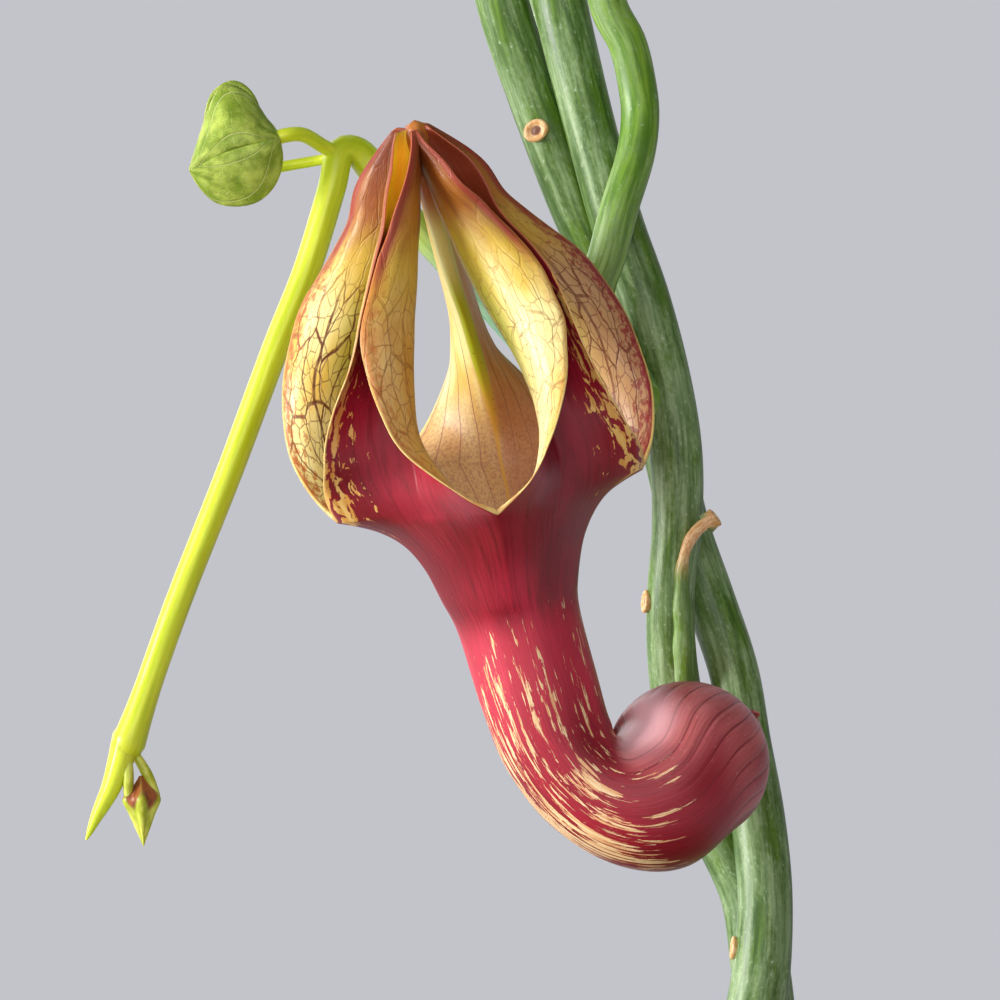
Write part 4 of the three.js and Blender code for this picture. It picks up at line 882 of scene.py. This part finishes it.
def make_young_leaves(finish, stalk_finish):
    """The folded young leaf: an upper and a lower half, each a grid from the midrib out to an outline given
    by points, swelled towards the viewer. Behind it a smaller leaf shows."""

    def half_blade(shape, outline, midrib, crown):
        edge, spine = even_path(outline, 48), even_path(midrib, 48)
        out = np.linspace(0, 1, 20)[:, None, None]
        length = np.linspace(0, 1, 49)
        swell = np.sin(np.pi * length)[:, None] ** 0.7 * np.array([0, -crown, 0])
        grid = spine + (edge - spine) * out + swell * np.sin(np.pi * out**0.8)
        blade = np.stack(np.broadcast_arrays(length, out[..., 0] * 0.55, 0.0), axis=-1)
        shape.add(grid, blade=blade, edge=np.broadcast_to(out[..., 0], grid.shape[:2]))

    base, apex = (-14.55, -2.15, 116.6), (-18.06, -2.2, 115.3)
    midrib = [base, (-15.3, -2.42, 116.4), (-16.6, -2.5, 116.05), apex]
    upper = [
        base, (-14.75, -1.85, 117.0), (-15.1, -1.55, 117.4), (-15.6, -1.35, 118.15), (-16.05, -1.25, 118.55),
        (-16.52, -1.2, 118.7), (-16.95, -1.25, 118.5), (-17.3, -1.4, 117.75), (-17.65, -1.7, 116.7), apex,
    ]
    lower = [
        base, (-14.42, -2.0, 115.7), (-14.7, -1.85, 114.75), (-15.35, -1.75, 114.1), (-16.2, -1.7, 113.9),
        (-17.05, -1.75, 114.05), (-17.65, -1.95, 114.6), apex,
    ]
    front = Shape()
    half_blade(front, upper[::-1], midrib[::-1], 0.35)
    half_blade(front, lower, midrib, 0.3)
    blade = thicken(front.build("young_leaf_front_dressed", finish), YOUNG_LEAF_WALL, 0.0)
    settle(blade, "young_leaf", "young_leaf_front")
    behind = Shape()
    foot, end = (-14.9, 0.0, 115.4), (-17.5, 0, 115.6)
    outline = [
        foot, (-15.2, -0.2, 117.2), (-15.5, -0.4, 118.3), (-16.0, -0.5, 118.85), (-16.55, -0.5, 118.95),
        (-17.3, -0.5, 118.4), (-17.6, -0.3, 117.0), end,
    ]
    half_blade(behind, outline[::-1], [end, (-16.2, 0.1, 115.6), foot], 0.15)
    blade = thicken(behind.build("young_leaf_behind_dressed", finish), LEAF_BEHIND_WALL, 0.0)
    settle(blade, "young_leaf", "young_leaf_behind")
    stalks = Shape()
    for points, thick in (
        ([(-12.2, -0.7, 116.0), (-12.75, -0.9, 116.3), (-13.6, -1.7, 116.75), (-14.3, -1.95, 116.7),
          (-14.9, -1.85, 116.5)], 0.3),
        ([(-12.3, -0.3, 115.9), (-12.95, 0.1, 115.75), (-13.8, 0.1, 115.6), (-14.9, 0.0, 115.4)], 0.22),
    ):
        stalks.add_rod(points, 40, thick, 16, reference=SKY, shade=0)
    settle(stalks.build("young_leaf_stalks", stalk_finish), "young_leaf")


# Corolla

UP = np.cos(LEAN_FORWARD) * np.array([-np.sin(LEAN_LEFT), -np.tan(LEAN_FORWARD), np.cos(LEAN_LEFT)])
RIGHT = np.array([np.cos(LEAN_LEFT), 0, np.sin(LEAN_LEFT)])
FRONT = np.cross(RIGHT, UP)

margin_radius = through(
    (-0.1, 5.4), (0, 6.6), (0.07, 7.1), (0.17, 7.4), (0.25, 7.36), (0.37, 7.1), (0.48, 6.48), (0.557, 5.84),
    (0.637, 4.8), (0.695, 4.05), (0.76, 3.3), (0.84, 2.8), (0.89, 2.25), (0.94, 1.5), (1, 0.5),
)
keel_radius = through(
    (0, 4.75), (0.05, 5.05), (0.1, 5.15), (0.2, 5.05), (0.3, 4.65), (0.4, 3.95), (0.5, 2.95), (0.6, 2.1),
    (0.7, 1.45), (0.8, 0.85), (1, 0.1),
)
KEEL_SHARES = [0.9, 1.0, 1.0, 1.0, 1.0]
belly_out = through((0, 0), (0.2, 0.32), (0.45, 0.6), (0.65, 0.5), (0.85, 0.25), (1, 0.05))
BELLY_SHARES = [(1, 1.3), (0.75, 1), (1, 1), (0.2, 0.6), (1, 1)]


def plain_fold(corner):
    """Angle from keel to margin, by height, of a lobe at the back, from its corner at the mouth."""
    return through((0, corner), (0.1, 0.7 * corner), (0.2, 16), (0.3, 9), (0.4, 4.5), (0.5, 2.5), (1, 2.3))


FOLDS = [
    (
        through((0, 36), (0.1, 28), (0.175, 20.4), (0.254, 16), (0.348, 10), (0.444, 3.6), (0.52, 0.8),
                (0.7, 0.2), (0.8, -3), (0.87, -5), (0.91, -5), (0.95, 2), (1, 20)),
        through((0, 36), (0.05, 29), (0.1, 24), (0.151, 19.5), (0.24, 12.4), (0.345, 7.7), (0.444, 3.4),
                (0.52, 0.4), (0.6, 0), (0.7, 0.6), (0.75, 4), (0.8, 9), (0.864, 18), (0.933, 27), (1, 36)),
    ),
    (
        through((0, 36), (0.083, 22.6), (0.18, 13.1), (0.272, 5.1), (0.337, 0.6), (0.406, -3.2),
                (0.468, -7.4), (0.542, -9.5), (0.607, -13.8), (0.667, -15.7), (0.722, -14.8), (0.782, -11),
                (0.849, 1.5), (0.916, 5), (0.965, 14), (1, 16)),
        through((0, 36), (0.08, 27), (0.155, 18.7), (0.281, 12.4), (0.387, 9.8), (0.466, 10.8), (0.54, 13),
                (0.607, 17.3), (0.667, 19.4), (0.722, 18.8), (0.8, 21.7), (0.85, 24), (0.885, 28), (0.92, 28),
                (1, 24)),
    ),
    (plain_fold(36), plain_fold(31)),
    (
        through((0, 31), (0.1, 17), (0.195, 8), (0.27, 2.4), (0.385, -1), (0.6, -1), (1, 1)),
        through((0, 41), (0.1, 25), (0.2, 15), (0.3, 9.5), (0.4, 6), (0.5, 4.4), (1, 3)),
    ),
    (plain_fold(41), plain_fold(36)),
]

streak_density = through(
    (0, 0), (3.4, 0), (5, 0.3), (7, 0.52), (9, 0.72), (11, 0.9), (13, 0.95), (14.5, 0.74), (16.5, 0.4),
    (18.5, 0),
)
gap_before = ((KEEL_AZIMUTHS - np.roll(KEEL_AZIMUTHS, 1)) % 360) / 2
gap_after = np.roll(gap_before, -1)


def mouth_tilt(azimuth):
    """How far the rim of the mouth stands off its plain ring, aside and up: most at its front left."""
    left, front = -np.sin(azimuth), np.maximum(np.cos(azimuth), 0)
    aside, lift = 0.16 + 0.13 * left + 0.22 * front, 0.31 * front + 0.15 * left - 0.08
    return RIGHT * aside[..., None] + UP * lift[..., None]


def lobe_points(lobe, side, t, q):
    """Half of a folded lobe: t runs up the cage and q from the keel inside to the margin outside. The half
    is a chord between the two, swelled towards the window beside it; FOLDS gives the angle from keel to
    margin, by height, for the two halves of each lobe."""
    spread = np.radians(FOLDS[lobe][side > 0](t))
    keel, margin = keel_radius(t) * KEEL_SHARES[lobe], margin_radius(t)
    out, across = margin * np.cos(spread), margin * np.sin(spread)
    length = np.hypot(out - keel, across)
    swell = 4 * q * (1 - q) * (0.35 + 0.65 * ease(q, 0, 0.3))
    belly = belly_out(t) * BELLY_SHARES[lobe][side > 0] * swell
    radial = keel + (out - keel) * q - belly * across / length
    lateral = side * (across * q + belly * (out - keel) / length)
    azimuth = np.radians(KEEL_AZIMUTHS[lobe])
    front = (radial * np.cos(azimuth) - lateral * np.sin(azimuth))[..., None] * FRONT
    right = (radial * np.sin(azimuth) + lateral * np.cos(azimuth))[..., None] * RIGHT
    tilt = mouth_tilt(azimuth + side * spread * q) * (1 - ease(t, 0, 0.3))[..., None]
    return MOUTH + (CAGE_HEIGHT * t * np.ones_like(q))[..., None] * UP + front + right + tilt


def down(depth, aside=0.0):
    """Point below the mouth, along the cage's axis."""
    return MOUTH - UP * depth + RIGHT * aside


def tube_rings():
    """Rings of the tube from the bulb's pole to the mouth: each station gives a middle, the way the tube
    runs, and the radius at the corners between the lobes and at the middle of each side, which share^2 joins
    between them. A smooth curve through the stations fills in the rings."""
    stations = [
        (down(0), -UP, 6.6, 4.75), (down(0.35, 0.05), -UP, 5.75, 4.6), (down(0.8, 0.15), -UP, 4.9, 4.25),
        (down(1.5, 0.3), -UP, 4.1, 3.75), (down(2.6, 0.34), -UP, 3.4, 3.2), (down(4.2, 0.3), -UP, 2.85, 2.75),
        ((-4.9, -7.5, 97.4), (0.22, 0.12, -0.97), 2.52, 2.5),
        ((-3.98, -7.3, 94.2), (0.27, 0.06, -0.96), 2.4, 2.4),
        ((-3.36, -7.2, 92.48), (0.51, 0.04, -0.86), 2.33, 2.33),
        ((-2.48, -7.15, 91.16), (0.83, 0.04, -0.56), 2.36, 2.36),
        ((-1.36, -7.1, 90.2), (0.98, 0.08, -0.13), 2.52, 2.52),
        ((-0.32, -7.0, 89.85), (0.96, 0.2, 0.19), 2.75, 2.75),
        ((0.72, -6.75, 90.2), (0.82, 0.45, 0.35), 3.1, 3.1),
    ]
    for degrees in (100, 75, 50, 27, 6):
        lift, wide = BULB_RADIUS * np.cos(np.radians(degrees)), BULB_RADIUS * np.sin(np.radians(degrees))
        stations.append((BULB_CENTRE + BULB_AXIS * lift, BULB_AXIS, wide, wide))
    centre = np.array([station[0] for station in stations], float)
    axis = unit(np.array([station[1] for station in stations], float))
    corner, middle = (np.array([station[k] for station in stations])[:, None, None] for k in (2, 3))
    front = unit(VIEWER - (axis @ VIEWER)[:, None] * axis)
    right = np.cross(front, axis)
    share = np.linspace(-1, 1, 2 * COLUMNS + 1)
    share = np.sign(share) * np.abs(share) ** 1.25
    gap = np.where(share[None] < 0, gap_before[:, None], gap_after[:, None])
    azimuth = np.radians(KEEL_AZIMUTHS[:, None] + share * gap)
    radius = middle + (corner - middle) * share**2
    rings = centre[:, None, None] + (radius * np.cos(azimuth))[..., None] * front[:, None, None]
    rings = rings + (radius * np.sin(azimuth))[..., None] * right[:, None, None]
    for ring, tilt_share in enumerate((1, 0.85, 0.6, 0.25)):
        rings[ring] += tilt_share * mouth_tilt(azimuth)
    fine = spline(rings, 8)[::-1]
    middles = fine.mean(axis=(1, 2))
    depth = np.concatenate([[0], np.cumsum(np.linalg.norm(np.diff(middles[::-1], axis=0), axis=1))])[::-1]
    return fine, depth, azimuth


def lobe_sheets():
    """All five lobes as one array: rows up the cage, columns from one margin over the keel to the other."""
    t = (np.linspace(0, 1, LOBE_ROWS) ** 1.15 * 0.985)[:, None]
    q = np.linspace(0, 1, COLUMNS + 1)[None] ** 1.25
    halves = [[lobe_points(lobe, side, t, q) for side in (-1, 1)] for lobe in range(5)]
    lobes = np.stack([np.concatenate([left[:, :0:-1], right], axis=1) for left, right in halves], axis=1)
    return lobes, t[:, 0], np.concatenate([q[0, :0:-1], q[0]])


def make_corolla():
    """One sheet from the bulb's pole to the tips of the lobes, with a wall on its inner side. Tube rows join
    all round; lobe rows are split at the corners of the mouth, where the windows of the cage begin."""
    tube, depth, azimuth = tube_rings()
    lobes, rise, share = lobe_sheets()
    lobes += (1 - ease(rise, 0, 0.16))[:, None, None, None] * (tube[-1] - lobes[0])
    tube, depth = tube[:-1], depth[:-1]
    rows, columns = len(tube), len(share)
    grid = np.concatenate([tube, lobes])

    index = np.arange(grid[..., 0].size).reshape(grid.shape[:3])
    index[: rows + 1, :, -1] = np.roll(index[: rows + 1, :, 0], -1, axis=1)
    faces = np.vstack([Shape.quads(index[:, lobe]) for lobe in range(5)])
    pole = index[0, :, :-1].reshape(-1)
    used, renumbered = np.unique(faces, return_inverse=True)
    renumbered = renumbered.reshape(faces.shape)
    pole = np.searchsorted(used, pole)

    up = np.concatenate([-depth / CAGE_HEIGHT, rise])[:, None, None] * np.ones(grid.shape[:3])
    across = np.broadcast_to(share, grid.shape[:3])
    side = np.concatenate([-np.ones(columns // 2), [0], np.ones(columns // 2)])
    turn = np.broadcast_to(azimuth, grid.shape[:3])
    apart = LOBE_APART * np.arange(5)[None, :, None]
    net = np.stack([across * side * LOBE_HALF_WIDTH + apart, up * CAGE_HEIGHT, 0 * up], axis=-1)
    wrap = np.stack([TUBE_RADIUS * np.cos(turn), TUBE_RADIUS * np.sin(turn), up * CAGE_HEIGHT], axis=-1)
    outer = ease(np.linalg.norm((grid - CREASE) * [1, 0.4, 1], axis=-1), 0.6, 4.6)
    deep = -up * CAGE_HEIGHT
    bulb = ease(deep - 3.0 * outer, 12.2, 15.2)
    streaks = streak_density(deep) * (0.55 + 0.45 * outer) * ease(grid[..., 0], 3.4, 0.6)
    # pale: 1 at the bulb's left end, where a painted highlight goes.
    pale = ease(np.linalg.norm(grid - BULB_HIGHLIGHT_SPOT, axis=-1), 2.4, 0.6) * bulb

    def by_face(values):
        """One value for each half of each lobe, from its left half to its right, joined over the keel."""
        pair = np.array(values, float)
        blend = (side * ease(np.abs(share), 0, 0.12) + 1) / 2
        return np.broadcast_to(pair[:, :1] * (1 - blend) + pair[:, 1:] * blend, grid.shape[:3])

    tan = by_face([(0.5, 0.85), (0.02, 0.5), (0.3, 0.5), (1.1, 0.08), (0.5, 0.02)])
    pink = by_face([(0.2, 0.05), (0.0, 0.2), (0.8, 0.4), (0.3, 0.0), (0.2, 0.0)])
    bold = by_face([(0.6, 0.45), (0.4, 0.6), (0.8, 0.6), (0.1, 0.1), (0.6, 1.0)])
    freckles = by_face([(0.6, 0.5), (0.15, 0.5), (1.0, 0.5), (0.2, 0.0), (0.6, 0.9)])
    lines = by_face([(0, 0), (0, 0), (0, 0), (1, 1), (0, 0)])
    near = by_face([(1, 0), (0, 1), (0.6, 0.6), (0.6, 0.6), (0.6, 0.6)])
    blotches = near * ease(across, 0.3, 0.95) * ease(up, -0.12, 0.06) * ease(up, 0.75, 0.4)
    golden = by_face([(0.9, 0.9), (0, 0), (0, 0), (0, 0), (0, 0)]) * ease(up, 0.72, 0.78)
    # Where the painted shade goes, in the fold between the tube's inner side and the bulb.
    crease = ease(np.linalg.norm((grid - CREASE_SHADE) * [0.7, 0.3, 1.6], axis=-1), 1.3, 0.2) * bulb

    flat = grid.reshape(-1, 3)[used]
    fields = {"up": up, "across": across, "net": net, "wrap": wrap, "streaks": streaks, "bulb": bulb,
              "turn": turn / (2 * np.pi), "tan": tan, "pink": pink, "bold": bold, "lines": lines,
              "freckles": freckles, "blotches": blotches, "golden": golden, "crease": crease, "pale": pale}
    fields = {name: value.reshape(-1, 3)[used] if value.ndim == 4 else value.reshape(-1)[used]
              for name, value in fields.items()}
    shape = Shape()
    shape.add_faces(flat, renumbered.tolist() + [pole[::-1].tolist()], **fields)
    knob_turn = rounded([(0.0, 0.75), (0.34, 0.6), (0.55, 0.1), (0.5, -0.6), (0.25, -1.5)], 0.3)[::-1]
    knob = turned(np.maximum(knob_turn, [0.03, -9]), 20, MOUTH + UP * CAGE_HEIGHT * 0.955 + RIGHT * 0.2, UP)
    piece = shape.build("corolla_dressed", petal_outer_finish(), petal_inner_finish(), petal_edge_finish())
    thin = (ease(up, -0.03, 0.08) * ease(across, 0.7, 1.0)).reshape(-1)[used]
    body = piece.vertex_groups.new(name="body")
    for level in np.unique(np.round(thin, 1)):
        body.add(np.flatnonzero(np.round(thin, 1) == level).tolist(), 1 - float(level), "REPLACE")
    thicken(piece, PETAL_WALL, -1.0, under=1, rim=2)
    piece.modifiers["wall"].vertex_group = "body"
    piece.modifiers["wall"].thickness_vertex_group = EDGE_SHARE
    settle(piece, "corolla", "corolla")
    tip = Shape()
    tip.add(knob, around=True)
    settle(tip.build("cage_tip", tip_finish()), "corolla")


def tip_finish():
    """Where the lobes grow together at the top: smooth brown-orange, mottled."""
    tip = Finish("cage_tip", Roughness=0.4)
    mottle = tip.noise(tip.place(), (1.3, 1.3, 0.8), 3, 0.5)
    tip.paint(Base_Color=tip.mix(mottle.step(0.38, 0.66), (140, 68, 18), (196, 118, 40)))
    tip.bump(mottle, 0.04, 0.5)
    return tip


def make_calyx():
    """Five small sepals under the bulb's pole and the stalk that carries the flower from the left stem."""
    shape = Shape()
    pole = BULB_CENTRE + BULB_AXIS * BULB_RADIUS
    foot = braid_point(1, 92.4) + np.array([0, -0.9, 0])
    middle = (pole + foot) / 2 + [0.4, 0, 0.2]
    shape.add_rod([pole - BULB_AXIS * 0.2, pole + BULB_AXIS * 0.4, middle, foot], 40,
                  lambda share: 0.6 - 0.15 * share, 16, shade=lambda share: share)
    side = unit(np.cross(SKY, BULB_AXIS))
    up = np.cross(BULB_AXIS, side)
    for angle in 2 * np.pi * np.arange(5) / 5 + 0.3:
        out = side * np.cos(angle) + up * np.sin(angle)
        sepal = [pole + out * along + BULB_AXIS * lift
                 for along, lift in ((0, 0.5), (0.7, 0.45), (1.2, 0.25), (1.7, 0.0))]
        shape.add_rod(sepal, 24, lambda share: 0.4 * (1 - share) ** 0.7 + 0.02, 14, reference=BULB_AXIS,
                      flat=0.45, shade=lambda share: 0.1 * share)
    settle(shape.build("calyx_dressed", calyx_finish()), "calyx", "calyx")


# Leaves

heart = through(
    (0, 0.86), (8, 0.7), (20, 0.56), (45, 0.44), (75, 0.36), (105, 0.33), (135, 0.3), (157, 0.22),
    (172, 0.08), (180, 0.05),
)


def make_leaf(name, place, length, finishes, stalk_finish, pitch=-0.25, droop=0.5, stalk=0.5, fold=0.22):
    """A heart-shaped blade: its outline is a reach by angle round the stalk's seat; it is folded along the
    midrib, droops with the square of the way to its tip, and its edge waves five times round."""
    stem_point, thick, azimuth, stalk_length, rise = place
    angle = np.radians(azimuth)
    out = np.array([np.cos(angle), np.sin(angle), 0])
    stem_point = np.asarray(stem_point, float)
    start = stem_point + out * thick * 0.6
    seat = stem_point + out * (thick + 0.45 + stalk_length) + SKY * stalk_length * rise
    along = unit(out + [0, 0, pitch])
    across = unit(np.cross(along, SKY))
    normal = np.cross(across, along)
    spans = (0, 20, 8, False), (20, 150, 26, False), (150, 179, 12, True)
    degrees = np.concatenate([np.linspace(*span) for span in spans])
    degrees = np.concatenate([degrees, -degrees[:0:-1]])
    share = (np.linspace(0.0, 1, 19)[1:] ** 0.9)[:, None]
    theta = np.radians(degrees)
    reach = heart(np.abs(degrees)) * length * share
    x, y = reach * np.cos(theta), reach * np.sin(theta)
    wave = 0.03 * length * share**2 * np.sin(theta * 5)
    z = fold * np.abs(y) - droop * np.maximum(x, 0) ** 2 / length + wave
    quilt = 0.008 * length * share * np.sin(9 * theta) * np.exp(-2 * (share - 0.6) ** 2)
    grid = seat + x[..., None] * along + y[..., None] * across + (z + quilt)[..., None] * normal
    blade = np.stack([x / length, y / length, 0 * x], axis=-1)
    shape = Shape()
    index = np.arange(grid[..., 0].size).reshape(grid.shape[:2])
    index = np.hstack([index, index[:, :1]])
    faces = Shape.quads(index)[:, ::-1].tolist() + [index[0, :-1].tolist()]
    shape.add_faces(grid, faces, finish=0, blade=blade, edge=np.broadcast_to(share, x.shape))
    top, under = finishes
    settle(thicken(shape.build(f"{name}_dressed", top, under), LEAF_WALL, 0.0, under=1), "leaf", name)
    bend = start + (seat - start) * 0.55 + SKY * 0.12 * np.linalg.norm(seat - start)
    under_blade = [seat + along * 0.05 * length - normal * 0.15, seat + along * 0.22 * length - normal * 0.2]
    taper = through((0, stalk * 1.1), (0.1, stalk * 0.85), (0.6, stalk * 0.7), (1, stalk * 0.2))
    petiole = Shape()
    petiole.add_rod([start, bend, *under_blade], 36, taper, 14, reference=SKY, fresh=1, cork=0)
    settle(petiole.build(f"{name}_stalk", stalk_finish), "leaf")


def make_leaves(stalk_finish):
    """Each row: name, point on the stem, the stem's radius there, the way the leaf faces in degrees from the
    right, the stalk's length and rise, the blade's length, and what differs from the usual leaf."""
    top = leaf_finish("leaf_top", (52, 92, 40), (88, 132, 60), (164, 190, 118), 0.42, 0.3)
    under = leaf_finish("leaf_under", (112, 142, 96), (144, 168, 120), (176, 190, 140), 0.6)
    flat = {"pitch": -0.05, "droop": 0.35}
    low = {"stalk": 0.44, **flat}
    leaves = [
        ("leaf_high_right", braid_point(-1, 133.0), 1.0, 24, 6, 0.5, 20, {}),
        ("leaf_high_left", braid_point(1, 135.0), 1.0, 192, 6.5, 0.5, 21, {}),
        ("leaf_mid_front", (-6.7, -1.7, 146.2), 0.88, 250, 5.5, 0.6, 17, {}),
        ("leaf_mid_back", braid_point(-1, 148.0), 1.0, 130, 5.5, 0.55, 18, {}),
        ("leaf_top_right", (2.6, 0.8, 167), 0.6, 20, 4, 0.6, 13, {"stalk": 0.4}),
        ("leaf_top_left", (-5.8, -1.9, 161), 0.5, 205, 4, 0.6, 12, {"stalk": 0.4}),
        ("leaf_branch_right", (8.5, -1.3, 141), 0.6, -20, 4.5, 0.4, 14, {"stalk": 0.42}),
        ("leaf_branch_back", (-4.4, 8.7, 138.5), 0.4, 85, 4.5, 0.4, 14, {"stalk": 0.42}),
        ("leaf_low_right", braid_point(-1, 67.0), 1.15, -12, 8, 0.15, 22, flat),
        ("leaf_low_left", braid_point(1, 72.0), 1.15, 215, 7, 0.12, 17, flat),
        ("leaf_left_front", (-14.4, 3, 63), 0.66, 240, 6, 0.35, 18, low),
        ("leaf_left_back", (-14.4, 3, 63), 0.66, 122, 6, 0.35, 17, low),
        ("leaf_left_tip", (-16.0, -0.4, 75.6), 0.35, 170, 3, 0.5, 11, {"stalk": 0.36}),
        ("leaf_back_side", (12.6, 12.6, 65), 0.66, 4, 5, 0.4, 17, {**low, "droop": 0.3}),
        ("leaf_back_far", (12.6, 12.6, 65), 0.66, 118, 5, 0.4, 16, {**low, "droop": 0.3}),
        ("leaf_back_tip", (13.4, 11.6, 75.3), 0.35, 80, 3, 0.5, 11, {"stalk": 0.36}),
    ]
    for name, *place, length, options in leaves:
        make_leaf(name, place, length, (top, under), stalk_finish, **options)


# Camera, light and floor

VIEW_MIDDLE = Vector((-5.6, -7.0, 102.0)) * MM
VIEW_WIDTH = 40.0 * MM
SENSOR = 36.0
LENS = 540.0
FLOOR_RADIUS = 2.0
SHADED_SIDE = (0.8, -0.55, -0.1)


def make_stage():
    """A pale floor disc, soft boxes at the left, in front, above and behind, and a grey surround that is
    darker at the front right."""
    floor = Finish("floor", Roughness=0.9)
    grain = floor.noise(floor.place(), (0.05, 0.05, 0.05), 3)
    floor.paint(Base_Color=floor.mix(grain, (206, 206, 210), (212, 212, 216)))
    shape = Shape()
    radii = np.linspace(0.001, FLOOR_RADIUS / MM, 12)[::-1]
    shape.add(turned(np.stack([radii, np.zeros(12)], axis=-1), 96), around=True, caps=False)
    shape.build("floor", floor)

    camera = bpy.data.cameras.new("camera")
    camera.lens, camera.sensor_width = LENS, SENSOR
    holder = bpy.data.objects.new("camera", camera)
    holder.location = VIEW_MIDDLE + Vector((0, -VIEW_WIDTH * LENS / SENSOR, 0))
    holder.rotation_euler = (np.pi / 2, 0, 0)
    bpy.context.scene.collection.objects.link(holder)
    bpy.context.scene.camera = holder

    for name, place, size, power in (
        ("key", (-0.92, -0.26, 0.2), 0.36, 11.5),
        ("front", (-0.05, -0.9, 0.34), 0.5, 2.2),
        ("top", (-0.1, -0.1, 0.85), 0.5, 1.3),
        ("back", (-0.5, 0.7, 0.4), 0.6, 2.0),
    ):
        light = bpy.data.lights.new(name, "AREA")
        light.size, light.energy = size, power
        lamp = bpy.data.objects.new(name, light)
        lamp.location = place
        lamp.rotation_euler = (VIEW_MIDDLE - lamp.location).to_track_quat("-Z", "Y").to_euler()
        lamp.visible_camera = False
        bpy.context.scene.collection.objects.link(lamp)

    surround = Finish("surround", bpy.data.worlds, "Background")
    way = surround.node("ShaderNodeTexCoord", {}, output="Generated")
    dot = {"operation": "DOT_PRODUCT"}
    turned_away = surround.node("ShaderNodeVectorMath", dot, way, SHADED_SIDE, output="Value")
    surround.paint(Color=surround.mix(turned_away.step(-0.35, 0.45), (195, 196, 202), (104, 106, 110)))
    bpy.context.scene.world = surround.material
    bpy.context.scene.view_settings.view_transform = "Standard"


draw = np.random.default_rng(SEED)
stem_skin = stem_finish()
make_pot()
make_soil(draw)
make_grains(draw)
make_old_stems(stem_skin)
make_low_shoots(stem_skin)
make_lime_shoot()
make_bud(bud_finish())
young_skin = leaf_finish("young_leaf", (124, 150, 34), (188, 206, 88), (206, 218, 130), 0.42, relief=0.3)
make_young_leaves(young_skin, lime_finish())
make_corolla()
make_calyx()
make_leaves(stem_skin)
make_stage()
